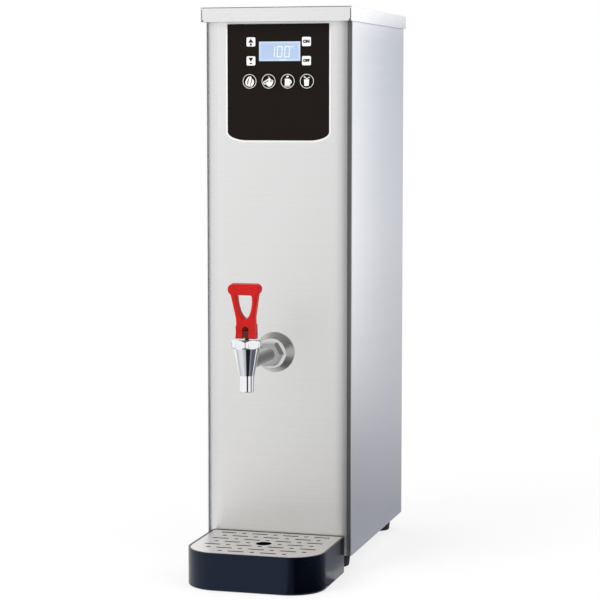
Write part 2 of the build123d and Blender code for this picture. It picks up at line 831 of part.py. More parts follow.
def leaned(y, z):
    """A point of the loop's side view after the loop has been leant forward about the pivot."""
    lean = math.radians(LEVER_LEAN)
    return y * math.cos(lean) - z * math.sin(lean), y * math.sin(lean) + z * math.cos(lean)


def lever_foot():
    """The fork's cam, whose lowest point drops by the stem's lift over the lever's swing."""
    back = LEVER_T / 2
    top_back, top_front = leaned(back, LEVER_WAIST / 2), leaned(-back, LEVER_WAIST / 2)
    swing = math.radians(LEVER_SWING)
    cam = [cam_point(swing * i / CAM_STEPS) for i in range(CAM_STEPS + 1)]
    start, toe = cam[0], cam[-1]
    outline = [
        Line(top_back, (back, FOOT_BACK_R - CAM_H)),
        ThreePointArc(
            (back, FOOT_BACK_R - CAM_H),
            (back - FOOT_BACK_R * (1 - math.sqrt(0.5)), -CAM_H + FOOT_BACK_R * (1 - math.sqrt(0.5))),
            (back - FOOT_BACK_R, -CAM_H),
        ),
        Line((back - FOOT_BACK_R, -CAM_H), start),
        Spline(*cam, tangents=[(-1, 0), (-math.cos(swing), math.sin(swing))]),
        Polyline(toe, leaned(-back, 0), top_front, top_back),
    ]
    half = LEVER_BASE_W / 2
    return extrude(Plane.YZ * make_face(outline), half, both=True)


def nearest(outline, x, z):
    """The outline's two corners, right and left, that lie nearest to a place."""
    return sorted(outline.vertices(), key=lambda v: abs(abs(v.X) - x) + abs(v.Y - z))[:2]


def lever_outline():
    """The loop from the front: a rounded head on two sides that draw in to the waist."""
    head_low = LEVER_TOP - LEVER_HEAD_H
    head = Pos(0, LEVER_TOP - LEVER_HEAD_H / 2) * RectangleRounded(LEVER_HEAD_W, LEVER_HEAD_H, LEVER_HEAD_R)
    neck, waist, base = LEVER_NECK_W / 2, LEVER_WAIST_W / 2, LEVER_BASE_W / 2
    sides = make_face(Polyline(
        (-base, 0), (base, 0), (waist, LEVER_WAIST), (neck, head_low + LEVER_HEAD_R),
        (-neck, head_low + LEVER_HEAD_R), (-waist, LEVER_WAIST), close=True,
    ))
    outline = head + sides
    outline = fillet(nearest(outline, neck, head_low), LEVER_NECK_R)
    return fillet(nearest(outline, waist, LEVER_WAIST), LEVER_WAIST_R)


WINDOW_SHARES = ((0.47, 0.40), (0.37, 0.68), (0.2, 0.91))


def lever_window():
    """The finger opening: square above, its sides curving in to a round point below."""
    top, half = LEVER_TOP - LEVER_HEAD_H, WINDOW_TOP_W / 2
    side = [(WINDOW_TOP_W * across, top - WINDOW_H * down) for across, down in WINDOW_SHARES]
    point = (0, top - WINDOW_H)
    curve = [(-half, top), *[(-x, y) for x, y in side], point, *reversed(side), (half, top)]
    window = make_face([Spline(*curve), Line((half, top), (-half, top))])
    return fillet(window.vertices(), WINDOW_CORNER_R)


def tap_lever():
    """The pull lever, modelled about its pivot: a moulded loop on a forked cam foot."""
    loop = extrude(Plane.XZ * (lever_outline() - lever_window()), LEVER_T / 2, both=True)
    rims = [loop.faces().sort_by(Axis.Y)[i].edges() for i in (0, -1)]
    loop = fillet(rims[0] + rims[1], LEVER_EDGE_R)
    lever = Rot(LEVER_LEAN, 0, 0) * loop + lever_foot()
    slot = FORK_SLOT / 2
    lever -= block((-slot, -LEVER_T, -PIVOT_H), (slot, LEVER_T, FORK_DEPTH - slot))
    lever -= rod_y(0, FORK_DEPTH - slot, -LEVER_T, LEVER_T, slot)
    lever -= rod_x(0, 0, -LEVER_BASE_W, LEVER_BASE_W, PIN_R + FIT)
    return at_tap(Pos(0, 0, PIVOT_Z) * lever)


def tap_pin():
    half = LEVER_BASE_W / 2
    return at_tap(rod_x(0, PIVOT_Z, -half, half, PIN_R))


def escutcheon():
    """The bell that covers the hole, a thin turned cup on the front panel."""
    bore = SHANK_R + FIT
    bell = turned([
        (bore, ROSE_D), (ROSE_FRONT_R, ROSE_D), (ROSE_R, ROSE_RIM_H), (ROSE_R, 0),
        (ROSE_R - ROSE_WALL, 0), (ROSE_R - ROSE_WALL, ROSE_RIM_H),
        (ROSE_FRONT_R - ROSE_WALL, ROSE_D - ROSE_WALL), (bore, ROSE_D - ROSE_WALL),
    ])
    rings = bell.edges().filter_by(GeomType.CIRCLE)
    soft = [e for e in rings if e.radius > ROSE_FRONT_R - FIT and e.center().Z > FIT]
    return outward(fillet(soft, ROSE_EDGE_R))


def ring_nut(across_flats, low, high, bore):
    """A hexagon nut with round chamfers at both ends."""
    point = across_flats / 2 / math.cos(math.radians(HEX_HALF))
    edge = point - NUT_CHAMFER
    nut = hexagon(across_flats, low, high)
    nut &= turned([
        (bore, low), (edge, low), (point, low + NUT_CHAMFER / 2),
        (point, high - NUT_CHAMFER / 2), (edge, high), (bore, high),
    ])
    return nut


def tap_nut():
    return outward(ring_nut(NUT_AF, ROSE_D, ROSE_D + NUT_L, SHANK_R + FIT))


def washer(low, high, outer, bore):
    """A ring round the shank between two depths behind the front face."""
    return rod_y(TAP_X, TAP_Z, low, high, outer) - rod_y(TAP_X, TAP_Z, low - CUT, high + CUT, bore)


def tap_spacer():
    """The tube that keeps the front panel and the tank wall apart where the nuts clamp them."""
    return washer(SHEET, TANK_Y - SEAL_T, SPACER_R, SHANK_R + FIT)


def tap_seal():
    return washer(TANK_Y - SEAL_T, TANK_Y, SEAL_R, SHANK_R + FIT)


def tap_locknut():
    low = TANK_Y + TANK_T
    return outward(ring_nut(LOCKNUT_AF, -low - LOCKNUT_L, -low, SHANK_R + FIT))


# Tank


def tank_shape(grow):
    """The tank's plan, larger all round by grow."""
    width, depth = 2 * TANK_HALF, TANK_BACK - TANK_Y
    return Pos(0, TANK_MID) * RectangleRounded(width + 2 * grow, depth + 2 * grow, TANK_R + grow)


def tank():
    """A drawn box with a rim for its lid, a hole for the tap's shank and one for the heater."""
    body = Pos(0, 0, TANK_Z) * extrude(tank_shape(0), TANK_TOP - TANK_Z)
    body += Pos(0, 0, TANK_TOP - TANK_T) * extrude(tank_shape(TANK_FLANGE), TANK_T)
    body -= Pos(0, 0, TANK_Z + TANK_T) * extrude(tank_shape(-TANK_T), TANK_TOP - TANK_Z)
    body -= rod_y(TAP_X, TAP_Z, TANK_Y - CUT, TANK_Y + TANK_T + CUT, SHANK_R + FIT)
    return body - rod_z(0, TANK_MID, TANK_Z - CUT, TANK_Z + TANK_T + CUT, HEATER_PLUG_R + FIT)


def tank_gasket():
    ring = tank_shape(TANK_FLANGE) - tank_shape(0)
    gasket = Pos(0, 0, TANK_TOP) * extrude(ring, GASKET_T)
    for x, y in lid_bolt_places():
        gasket -= rod_z(x, y, TANK_TOP - CUT, TANK_LID_Z + CUT, LID_BOLT_R + FIT)
    return gasket


def lid_bolt_places():
    """One bolt in the middle of each straight stretch of the tank's rim."""
    rim = TANK_FLANGE / 2
    return [
        (TANK_HALF + rim, TANK_MID), (-TANK_HALF - rim, TANK_MID), (0, TANK_Y - rim), (0, TANK_BACK + rim),
    ]


def probe_place():
    return -TANK_HALF / 2, TANK_MID


def level_places():
    first = -LEVEL_PITCH * (LEVEL_RODS - 1) / 2
    return [(first + i * LEVEL_PITCH, TANK_Y + TANK_R + BUSH_R) for i in range(LEVEL_RODS)]


def tank_lid():
    """The tank's cover, drilled for the probes, with two spigots for the hoses."""
    cover = Pos(0, 0, TANK_LID_Z) * extrude(tank_shape(TANK_FLANGE), TANK_LID_T)
    low, high = TANK_LID_Z - CUT, TANK_LID_TOP + CUT
    for x, y in lid_bolt_places():
        cover -= rod_z(x, y, low, high, LID_BOLT_R + FIT)
    x, y = probe_place()
    cover -= rod_z(x, y, low, high, PROBE_R + FIT)
    for x, y in level_places():
        cover -= rod_z(x, y, low, high, LEVEL_ROD_R + FIT)
    for name in ("inlet", "overflow"):
        x = PORT_X[name]
        cover += rod_z(x, SPIGOT_Y, TANK_LID_TOP, TANK_LID_TOP + PORT_FLANGE_T, BARB_SEAT_R)
        cover += rod_z(x, SPIGOT_Y, TANK_LID_TOP, TANK_LID_TOP + PORT_FLANGE_T + BARB_L, BARB_R)
        cover -= rod_z(x, SPIGOT_Y, low, TANK_LID_TOP + PORT_FLANGE_T + BARB_L + CUT, BARB_BORE_R)
    return cover


def tank_lid_bolts():
    group = []
    for x, y in lid_bolt_places():
        bolt = Pos(x, y, 0) * hexagon(LID_BOLT_AF, TANK_LID_TOP, TANK_LID_TOP + LID_BOLT_H)
        group.append(bolt + rod_z(x, y, TANK_TOP, TANK_LID_TOP, LID_BOLT_R))
    return group


def tank_jacket():
    """The foam round the tank's four walls, cut out for the tap's spacer."""
    ring = tank_shape(JACKET_T) - tank_shape(PLAY)
    low, high = TANK_Z, TANK_TOP - TANK_T
    foam = Pos(0, 0, low) * extrude(ring, high - low)
    room = max(SPACER_R, SEAL_R) + PLAY
    return foam - rod_y(TAP_X, TAP_Z, TANK_Y - JACKET_T - CUT, TANK_Y, room)


def tank_stand():
    """Two channels across the base plate that carry the tank."""
    group = []
    low, high = BASE_Z + BASE_T, TANK_Z
    depth = TANK_BACK - TANK_Y
    for share in (STAND_INSET_SHARE, 1 - STAND_INSET_SHARE):
        near = TANK_Y + depth * share - STAND_FOOT / 2
        bar = block((-STAND_W / 2, near, low), (STAND_W / 2, near + STAND_FOOT, high))
        bar -= block(
            (-STAND_W / 2 - CUT, near + STAND_T, low + STAND_T),
            (STAND_W / 2 + CUT, near + STAND_FOOT + CUT, high - STAND_T),
        )
        group.append(bar)
    return group


# Heater and sensors


def heating_element():
    """The flange under the tank with its plug, two hairpin tubes inside and the terminals below."""
    low = TANK_Z - HEATER_T
    heater = rod_z(0, TANK_MID, low, TANK_Z, HEATER_R)
    heater += rod_z(0, TANK_MID, TANK_Z, TANK_Z + HEATER_PLUG_L, HEATER_PLUG_R)
    reach = (HEATER_PLUG_R - ELEMENT_R - ELEMENT_EDGE) / math.sqrt(2)
    for side in (-1, 1):
        x = side * reach
        y0, y1 = TANK_MID - reach, TANK_MID + reach
        bend = TANK_Z + HEATER_PLUG_L + ELEMENT_H
        for y in (y0, y1):
            heater += rod_z(x, y, TANK_Z, bend, ELEMENT_R)
            heater += rod_z(x, y, low - TERMINAL_L, low, TERMINAL_R)
        ring = Pos(x, TANK_MID, bend) * Rot(0, 90, 0) * Torus(reach, ELEMENT_R)
        room = reach + 2 * ELEMENT_R
        heater += ring & block((x - room, TANK_MID - room, bend), (x + room, TANK_MID + room, bend + room))
    return heater


def element_nut():
    low = TANK_Z + TANK_T
    nut = hexagon(2 * HEATER_NUT_R, low, low + HEATER_NUT_L)
    nut -= rod_z(0, 0, low - CUT, low + HEATER_NUT_L + CUT, HEATER_PLUG_R + FIT)
    return Pos(0, TANK_MID, 0) * nut


def temperature_probe():
    x, y = probe_place()
    probe = rod_z(x, y, TANK_LID_TOP - PROBE_L, TANK_LID_TOP, PROBE_R)
    return probe + Pos(x, y, 0) * hexagon(2 * PROBE_HEAD_R, TANK_LID_TOP, TANK_LID_TOP + PROBE_HEAD_H)


def level_probes():
    """Rods of three lengths, each in its insulating bush on the tank's lid."""
    group = []
    for i, (x, y) in enumerate(level_places()):
        length = LEVEL_SHORTEST + i * LEVEL_STEP
        rod = rod_z(x, y, TANK_LID_TOP - length, TANK_LID_TOP, LEVEL_ROD_R)
        group.append(rod + rod_z(x, y, TANK_LID_TOP, TANK_LID_TOP + BUSH_H, BUSH_R))
    return group


def safety_thermostat():
    """The cut-out, a disc that lies on the tank's lid, with its reset button."""
    x, y = TANK_HALF / 2, TANK_MID
    disc = rod_z(x, y, TANK_LID_TOP, TANK_LID_TOP + CUTOUT_H, CUTOUT_R)
    return disc + rod_z(x, y, TANK_LID_TOP, TANK_LID_TOP + 2 * CUTOUT_H, RESET_R)


# Water and power


def port_end():
    """How far back the inlet and the outlet reach."""
    return CASE_D + NECK_L + INLET_L


def port(x, radius):
    """A flange inside the rear panel, a neck through it and a round connection outside."""
    end = rod_y(x, PORT_Z, CASE_D + NECK_L, port_end(), radius)
    neck = rod_y(x, PORT_Z, PORT_INNER, CASE_D + NECK_L, radius - NECK_CUT)
    return end + neck + rod_y(x, PORT_Z, PORT_INNER, CASE_D - SHEET, PORT_FLANGE_R)


def inlet_valve():
    """The solenoid valve: its thread comes out of the rear, its outlet points up to the hose."""
    x, front = PORT_X["inlet"], PORT_INNER - VALVE_L
    valve = port(x, INLET_R)
    valve += rod_y(x, PORT_Z, front, PORT_INNER, VALVE_R)
    valve += block(
        (x - COIL_W / 2, front, PORT_Z - COIL_H), (x + COIL_W / 2, front + COIL_W, PORT_Z)
    )
    valve += riser(x)
    valve -= rod_y(x, PORT_Z, hose_y(), port_end() + CUT, INLET_BORE_R)
    return valve - rod_z(x, hose_y(), PORT_Z, riser_top() + CUT, BARB_BORE_R)


def hose_y():
    """Both hoses rise in the gap between the jacket and the rear panel."""
    return PORT_INNER - VALVE_R


def riser_seat():
    return PORT_Z + VALVE_R + PORT_FLANGE_T


def riser_top():
    return riser_seat() + BARB_L


def riser(x):
    """A barbed outlet that points up, with the shoulder that its hose stands on."""
    return rod_z(x, hose_y(), PORT_Z, riser_seat(), BARB_SEAT_R) + rod_z(
        x, hose_y(), PORT_Z, riser_top(), BARB_R
    )


def overflow_elbow():
    """The outlet for overflow and steam, a pipe end below the hose from the tank's lid."""
    x = PORT_X["overflow"]
    elbow = port(x, OUTLET_R) + riser(x)
    elbow += rod_y(x, PORT_Z, hose_y() - ELBOW_R, PORT_INNER, ELBOW_R)
    elbow -= rod_y(x, PORT_Z, hose_y(), port_end() + CUT, INLET_BORE_R)
    return elbow - rod_z(x, hose_y(), PORT_Z, riser_top() + CUT, BARB_BORE_R)


def hose(x):
    """A hose from a riser up the back, over in two bends and down on its spigot."""
    start, end = riser_seat(), TANK_LID_TOP + PORT_FLANGE_T
    crown = end + HOSE_RISE
    path = FilletPolyline(
        (x, hose_y(), start), (x, hose_y(), crown), (x, SPIGOT_Y, crown), (x, SPIGOT_Y, end),
        radius=HOSE_BEND_R,
    )
    bore = BARB_R + HOSE_PLAY
    return sweep(Plane(path @ 0, z_dir=path % 0) * (Circle(bore + HOSE_WALL) - Circle(bore)), path=path)


def cord_gland():
    """The gland for the supply cable: a threaded tail, a flange and a domed clamping nut."""
    x = PORT_X["gland"]
    inner = CASE_D - SHEET
    gland = turned([
        (0, -GLAND_TAIL), (GLAND_R, -GLAND_TAIL), (GLAND_R, SHEET), (0, SHEET),
    ])
    gland += hexagon(GLAND_NUT_AF, SHEET, SHEET + GLAND_NUT_L)
    top = SHEET + GLAND_NUT_L + GLAND_DOME_L
    gland += turned([
        (0, SHEET + GLAND_NUT_L), (GLAND_R, SHEET + GLAND_NUT_L),
        (GLAND_R, top - GLAND_DOME_L / 2), (GLAND_TOP_R, top), (0, top),
    ])
    gland += hexagon(GLAND_NUT_AF, -GLAND_NUT_L, 0)
    gland -= rod_z(0, 0, -GLAND_TAIL - CUT, top + CUT, GLAND_BORE_R)
    return Pos(x, inner, PORT_Z) * Rot(-90, 0, 0) * gland


def power_board():
    return block((-POWER_W / 2, POWER_FACE, POWER_LOW), (POWER_W / 2, POWER_Y, POWER_HIGH))


def power_pillars():
    return [
        rod_y(side * (POWER_W / 2 - PILLAR_INSET), z, POWER_Y, CASE_D - SHEET, PILLAR_R)
        for side in (-1, 1)
        for z in (POWER_LOW + PILLAR_INSET, POWER_HIGH - PILLAR_INSET)
    ]


def on_power_board(x, z, width, deep, high):
    """A component that stands on the board, from its lower left corner."""
    return block((x, POWER_FACE - deep, z), (x + width, POWER_FACE, z + high))


def power_components():
    """Two relays and the transformer."""
    left, top = -POWER_W / 2 + BOARD_EDGE, POWER_HIGH - BOARD_EDGE
    relays = [
        on_power_board(left + i * (RELAY_W + BOARD_EDGE), top - RELAY_H, RELAY_W, RELAY_D, RELAY_H)
        for i in range(2)
    ]
    core = on_power_board(POWER_W / 2 - BOARD_EDGE - CORE_W, top - CORE_H, CORE_W, CORE_D, CORE_H)
    return relays + [core]


def terminal_block():
    left = -POWER_W / 2 + BOARD_EDGE
    return on_power_board(left, POWER_LOW + BOARD_EDGE, BLOCK_W, BLOCK_D, BLOCK_H)


def wiring_loom():
    """The leads from the power board to the control board, in one sleeve with a slight sag."""
    start, end = POWER_FACE, BOARD_Y + BOARD_T
    high = (BOARD_LOW + BOARD_HIGH) / 2
    mid = (start + end) / 2
    path = FilletPolyline(
        (LOOM_X, start, high), (LOOM_X, start - LOOM_BEND_R * 2, high),
        (LOOM_X, mid, high - LOOM_SAG),
        (LOOM_X, end + LOOM_BEND_R * 2, high), (LOOM_X, end, high),
        radius=LOOM_BEND_R,
    )
    return sweep(Plane(path @ 0, z_dir=path % 0) * Circle(LOOM_R), path=path)


NODES = {
    "base_plate": base_plate,
    "left_side_panel": lambda: mirrored(side_panel()),
    "right_side_panel": side_panel,
    "front_panel": front_panel,
    "rear_panel": rear_panel,
    "lid": lid,
    "case_screws": case_screws,
    "feet": feet,
    "foot_screws": foot_screws,
    "panel_carrier": panel_carrier,
    "panel_overlay": panel_overlay,
    "display_window": display_window,
    "lcd_module": lcd_module,
    "control_board": control_board,
    "board_pillars": board_pillars,
    "key_switches": key_switches,
    **{name: lambda shape=shape: key(shape) for name, shape in KEYS.items()},
    "drip_tray": drip_tray,
    "drip_grate": drip_grate,
    "tap_body": tap_body,
    "tap_shank": tap_shank,
    "tap_bonnet": tap_bonnet,
    "tap_stem": tap_stem,
    "seat_cup": seat_cup,
    "tap_spring": tap_spring,
    "tap_lever": tap_lever,
    "tap_pin": tap_pin,
    "escutcheon": escutcheon,
    "tap_nut": tap_nut,
    "tap_spacer": tap_spacer,
    "tap_seal": tap_seal,
    "tap_locknut": tap_locknut,
    "tank": tank,
    "tank_gasket": tank_gasket,
    "tank_lid": tank_lid,
    "tank_lid_bolts": tank_lid_bolts,
    "tank_jacket": tank_jacket,
    "tank_stand": tank_stand,
    "heating_element": heating_element,
    "element_nut": element_nut,
    "temperature_probe": temperature_probe,
    "level_probes": level_probes,
    "safety_thermostat": safety_thermostat,
    "inlet_valve": inlet_valve,
    "fill_hose": lambda: hose(PORT_X["inlet"]),
    "overflow_elbow": overflow_elbow,
    "overflow_hose": lambda: hose(PORT_X["overflow"]),
    "cord_gland": cord_gland,
    "power_board": power_board,
    "power_pillars": power_pillars,
    "power_components": power_components,
    "terminal_block": terminal_block,
    "wiring_loom": wiring_loom,
}


def front_reach():
    """How far the foremost corner of the bonnet, or else the tray, stands before the case."""
    corner = TAP_REACH + BONNET_R * math.cos(math.radians(BONNET_TURN))
    return max(corner, -TRAY_FRONT)


def rear_reach():
    return max(port_end(), CASE_D + GLAND_NUT_L + GLAND_DOME_L)


def shift_y():
    """The move along Y that puts the origin in the middle of the footprint."""
    return (front_reach() - rear_reach()) / 2


def build():
    """Every node's solids in the part's own frame, by name."""
    built = {}
    for name, make in NODES.items():
        made = make()
        solids = made if isinstance(made, list) else [made]
        built[name] = [Pos(0, shift_y(), 0) * solid for solid in solids]
    return built


def write(built):
    os.makedirs("parts", exist_ok=True)
    for name, solids in built.items():
        shape = solids[0] if len(solids) == 1 else Compound(children=solids)
        export_step(shape, f"parts/{name}.step")


write(build())
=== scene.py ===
"""Looks for the water boiler: its finishes, printed signs, display, small details and a plain studio."""
import json
import math

import bmesh
import bpy
from bpy.props import FloatProperty, FloatVectorProperty, PointerProperty, StringProperty
from mathutils import Matrix, Vector


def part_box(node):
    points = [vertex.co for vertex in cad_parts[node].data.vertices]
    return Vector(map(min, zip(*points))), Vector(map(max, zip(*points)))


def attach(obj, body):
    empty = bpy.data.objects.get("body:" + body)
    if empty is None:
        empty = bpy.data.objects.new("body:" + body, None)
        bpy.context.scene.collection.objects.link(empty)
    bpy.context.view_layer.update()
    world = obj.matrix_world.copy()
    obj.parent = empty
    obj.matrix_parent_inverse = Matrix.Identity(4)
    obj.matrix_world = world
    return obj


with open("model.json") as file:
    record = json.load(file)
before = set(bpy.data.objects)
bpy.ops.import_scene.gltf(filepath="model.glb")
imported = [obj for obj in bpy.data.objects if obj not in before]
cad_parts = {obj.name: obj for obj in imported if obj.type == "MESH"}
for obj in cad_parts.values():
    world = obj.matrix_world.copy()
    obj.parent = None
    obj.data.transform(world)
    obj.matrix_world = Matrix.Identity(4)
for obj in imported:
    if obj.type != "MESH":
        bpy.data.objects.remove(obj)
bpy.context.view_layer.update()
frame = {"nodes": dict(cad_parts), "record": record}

bl_info = {
    "name": "Water Boiler Looks",
    "version": (1, 0, 0),
    "blender": (4, 5, 0),
    "location": "View3D > Sidebar > Water Boiler",
    "description": "Dresses the packed water boiler with finishes, signs, a display and a studio",
    "category": "Object",
}

MM = 0.001
PRINT_T = 0.05 * MM  # thickness of print
PRINT_LIFT = 0.02 * MM  # gap that keeps print clear of what it lies on


# Sizes and colours that a user would change


def colour(name, text, value):
    """A colour setting."""
    return FloatVectorProperty(
        name=name, description=text, subtype="COLOR", size=3, min=0, max=1, default=value
    )


def length(name, text, value):
    """A length setting, in metres."""
    return FloatProperty(name=name, description=text, subtype="DISTANCE", unit="LENGTH", default=value)


class SteelSettings(bpy.types.PropertyGroup):
    """The steel of the case."""
    front: colour("Front", "Colour of the brushed front and the cover", (0.905, 0.904, 0.902))
    side: colour("Sides", "Colour of the two sides", (0.8, 0.81, 0.83))
    chrome: colour("Chrome", "Colour of the polished tap", (0.86, 0.87, 0.89))
    satin: colour("Satin chrome", "Colour of the bell behind the tap", (0.62, 0.61, 0.59))
    grain: length("Grain", "Height of one streak of the brushed steel", 0.0011)


class PanelSettings(bpy.types.PropertyGroup):
    """The control panel."""
    overlay: colour("Overlay", "Colour of the black overlay", (0.011, 0.0078, 0.006))
    display: colour("Display", "Colour of the lit display", (0.50, 0.64, 0.87))
    digits: colour("Digits", "Colour of the digits on the display", (0.86, 0.98, 1.0))
    signs: colour("Signs", "Colour of the signs on the round keys", (0.9, 0.9, 0.89))
    reading: StringProperty(name="Reading", description="Temperature that the display shows", default="100")


class PlasticSettings(bpy.types.PropertyGroup):
    """The plastic and rubber parts."""
    lever: colour("Lever", "Colour of the tap's lever", (0.50, 0.006, 0.004))
    tray: colour("Tray", "Colour of the drip tray", (0.001, 0.0016, 0.0036))
    feet: colour("Feet", "Colour of the rubber feet", (0.010, 0.010, 0.011))


class StudioSettings(bpy.types.PropertyGroup):
    """The studio and the camera."""
    lens: FloatProperty(name="Lens", description="Focal length in millimetres", subtype="DISTANCE_CAMERA",
                        default=121.74)
    ambient: FloatProperty(name="Ambient", description="Strength of the even light", default=0.82)
    key: FloatProperty(name="Key lamp", description="Power of the large lamp", subtype="POWER", default=45.0)
    fill: FloatProperty(name="Fill lamp", description="Power of the lamp at the right", subtype="POWER",
                        default=14.0)


# Finishes


def add_node(tree, kind, values=(), **settings):
    """Adds a node to a tree. A value that is a socket is joined, any other is set."""
    made = tree.nodes.new("ShaderNode" + kind)
    for key, value in settings.items():
        setattr(made, key, value)
    for socket, value in dict(values).items():
        if isinstance(value, bpy.types.NodeSocket):
            tree.links.new(value, made.inputs[socket])
        else:
            made.inputs[socket].default_value = value
    return made


class Finish:
    """One material: adds nodes and joins them to the main shader."""

    def __init__(self, name, **values):
        self.material = bpy.data.materials.new("boiler_" + name)
        self.material.use_nodes = True
        self.tree = self.material.node_tree
        self.shader = self.tree.nodes["Principled BSDF"]
        self.place = self.node("TexCoord").outputs["Object"]
        for socket, value in values.items():
            self.shader.inputs[socket.replace("_", " ")].default_value = value

    def node(self, kind, values=(), **settings):
        """Adds a node to this material."""
        return add_node(self.tree, kind, values, **settings)

    def noise(self, per_metre, detail=3.0, rough=0.55):
        """Noise with its count of cells per metre, one for all axes or one each for X, Y and Z."""
        if not isinstance(per_metre, tuple):
            per_metre = (per_metre,) * 3
        stretched = self.node("Mapping", {"Vector": self.place, "Scale": per_metre})
        values = {"Vector": stretched.outputs[0], "Scale": 1.0, "Detail": detail, "Roughness": rough}
        return self.node("TexNoise", values).outputs["Fac"]

    def cells(self, per_metre, output):
        """An output of a pattern of cells."""
        return self.node("TexVoronoi", {"Vector": self.place, "Scale": per_metre}).outputs[output]

    def along(self, axis):
        """The place on one axis, in metres."""
        return self.node("SeparateXYZ", {"Vector": self.place}).outputs[axis]

    def facing(self, axis):
        """How squarely the surface faces one axis, from -1 to 1."""
        normal = self.node("NewGeometry").outputs["True Normal"]
        return self.node("SeparateXYZ", {"Vector": normal}).outputs[axis]

    def maths(self, operation, first, second=0.0):
        """One step of arithmetic."""
        return self.node("Math", {0: first, 1: second}, operation=operation).outputs[0]

    def ramp(self, value, low, high, start=0.0, end=1.0):
        """value from start..end mapped on low..high."""
        values = {"Value": value, "From Min": start, "From Max": end, "To Min": low, "To Max": high}
        return self.node("MapRange", values).outputs[0]

    def mix(self, share, first, second):
        """A colour between two, each a socket or three numbers."""
        values = {0: share, 6: self.four(first), 7: self.four(second)}
        return self.node("Mix", values, data_type="RGBA").outputs[2]

    @staticmethod
    def four(value):
        """A colour as a socket takes it."""
        return value if isinstance(value, bpy.types.NodeSocket) else (*value[:3], 1.0)

    def join(self, socket, value):
        """Joins a value to the main shader."""
        self.tree.links.new(value, self.shader.inputs[socket])
        return self

    def bump(self, value, height, strength=1.0):
        """Raises the surface by height metres where value is 1."""
        values = {"Height": value, "Distance": height, "Strength": strength}
        return self.join("Normal", self.node("Bump", values).outputs[0])

    def darken(self, level, dark):
        """Paints shading into the colour: mixes it towards the colour dark where level is 1."""
        plain = self.shader.inputs["Base Color"].links[0].from_socket
        return self.join("Base Color", self.mix(level, plain, dark))


def shade(rgb, factor):
    """A colour made lighter or darker."""
    return tuple(min(1.0, part * factor) for part in rgb[:3])


def brushed_steel(name, rgb, grain, roughness=0.3, low=0.0, high=0.72, dark_low=1.0, smear=0.0):
    """Rolled steel with fine level streaks that smear reflections up and down, and painted shade that makes
    it darker and warmer low down.
    """
    finish = Finish(name, Metallic=1.0, Anisotropic=smear, Anisotropic_Rotation=0.25)
    fine = finish.noise((7.0, 7.0, 1.0 / grain), 4.0, 0.7)
    broad = finish.noise((2.0, 2.0, 60.0), 2.0)
    cloud = finish.noise(5.0, 2.0)
    streak = finish.ramp(fine, 0, 1, 0.3, 0.7)
    streaks = finish.mix(streak, shade(rgb, 0.97), shade(rgb, 1.02))
    banded = finish.mix(finish.ramp(broad, 0, 0.45, 0.35, 0.75), streaks, shade(rgb, 0.98))
    worn = finish.mix(finish.ramp(cloud, 0, 0.3, 0.45, 0.7), banded, shade(rgb, 0.985))
    # Painted shade: the foot colour is warmer and darker, and it fades out from low to high on Z.
    warm = shade((rgb[0], rgb[1] * 0.985, rgb[2] * 0.965), dark_low)
    foot = finish.mix(streak, shade(warm, 0.96), shade(warm, 1.02))
    rise = finish.ramp(finish.along("Z"), 0, 1, low, high)
    finish.join("Base Color", finish.mix(rise, foot, worn))
    finish.join("Roughness", finish.ramp(fine, roughness - 0.02, roughness + 0.04, 0.3, 0.7))
    return finish.bump(fine, 0.00002, 0.12)


def front_sheet(steel):
    """The front's steel, with painted shade on the roll at its left and a painted shadow where its right end
    dips behind the bead.
    """
    finish = brushed_steel("brushed_front", steel.front, steel.grain, 0.42, dark_low=0.87, smear=0.35)
    turn = finish.facing("X")
    # Painted shade on the roll at the left.
    finish.darken(finish.ramp(turn, 0, 1, -0.02, -0.33), shade(steel.front, 0.8))
    # Painted shadow on the right end of the roll, behind the bead.
    return finish.darken(finish.ramp(turn, 0, 0.97, 0.2, 0.32), (0.03, 0.03, 0.035))


def side_sheet(steel):
    """The sides' steel, with painted shade on the bead that faces ahead beside the roll at the right."""
    finish = brushed_steel("brushed_side", steel.side, steel.grain, 0.3, smear=0.6)
    # Painted shade on the bead beside the roll at the right.
    ahead = finish.ramp(finish.facing("Y"), 0.85, 0, -0.9, -0.6)
    right = finish.maths("GREATER_THAN", finish.along("X"))
    return finish.darken(finish.maths("MULTIPLY", ahead, right), (0.07, 0.07, 0.075))


def cover_sheet(steel):
    """The cover's steel, with painted light that makes its flanks paler than its front."""
    finish = brushed_steel("lid_steel", shade(steel.front, 0.925), steel.grain, 0.26, 0, 0.1)
    # Painted light on the flanks.
    flank = finish.ramp(finish.maths("ABSOLUTE", finish.facing("X")), 0, 0.85, 0.6, 0.9)
    return finish.darken(flank, (0.91, 0.91, 0.925))


def slotted_sheet():
    """The grate's steel, with painted shade that makes the cut walls of its slots dark."""
    finish = brushed_steel("grate_steel", (0.88, 0.866, 0.85), 0.0009, 0.34, 0, 0.1)
    # Painted shade on the slot walls.
    wall = finish.ramp(finish.maths("ABSOLUTE", finish.facing("Z")), 1, 0, 0.2, 0.9)
    return finish.darken(wall, (0.02, 0.019, 0.018))


def galvanised_sheet():
    """Zinc-coated sheet with its large crystals."""
    finish = Finish("galvanised", Metallic=1.0)
    value = finish.node("SeparateColor", {"Color": finish.cells(90.0, "Color")}).outputs[0]
    finish.join("Base Color", finish.mix(value, (0.42, 0.44, 0.46), (0.58, 0.6, 0.62)))
    finish.join("Roughness", finish.ramp(value, 0.35, 0.5))
    return finish.bump(finish.noise(400.0), 0.00003, 0.4)


def polished_metal(name, rgb, roughness, grain, wear):
    """Plated or turned metal with faint smears in its shine."""
    finish = Finish(name, Metallic=1.0)
    smear = finish.noise(grain)
    finish.join("Base Color", finish.mix(smear, shade(rgb, 1 - wear), shade(rgb, 1 + wear)))
    finish.join("Roughness", finish.ramp(smear, roughness * 0.7, roughness * 1.4, 0.3, 0.7))
    return finish.bump(finish.noise(grain * 3), 0.00001, 0.15)


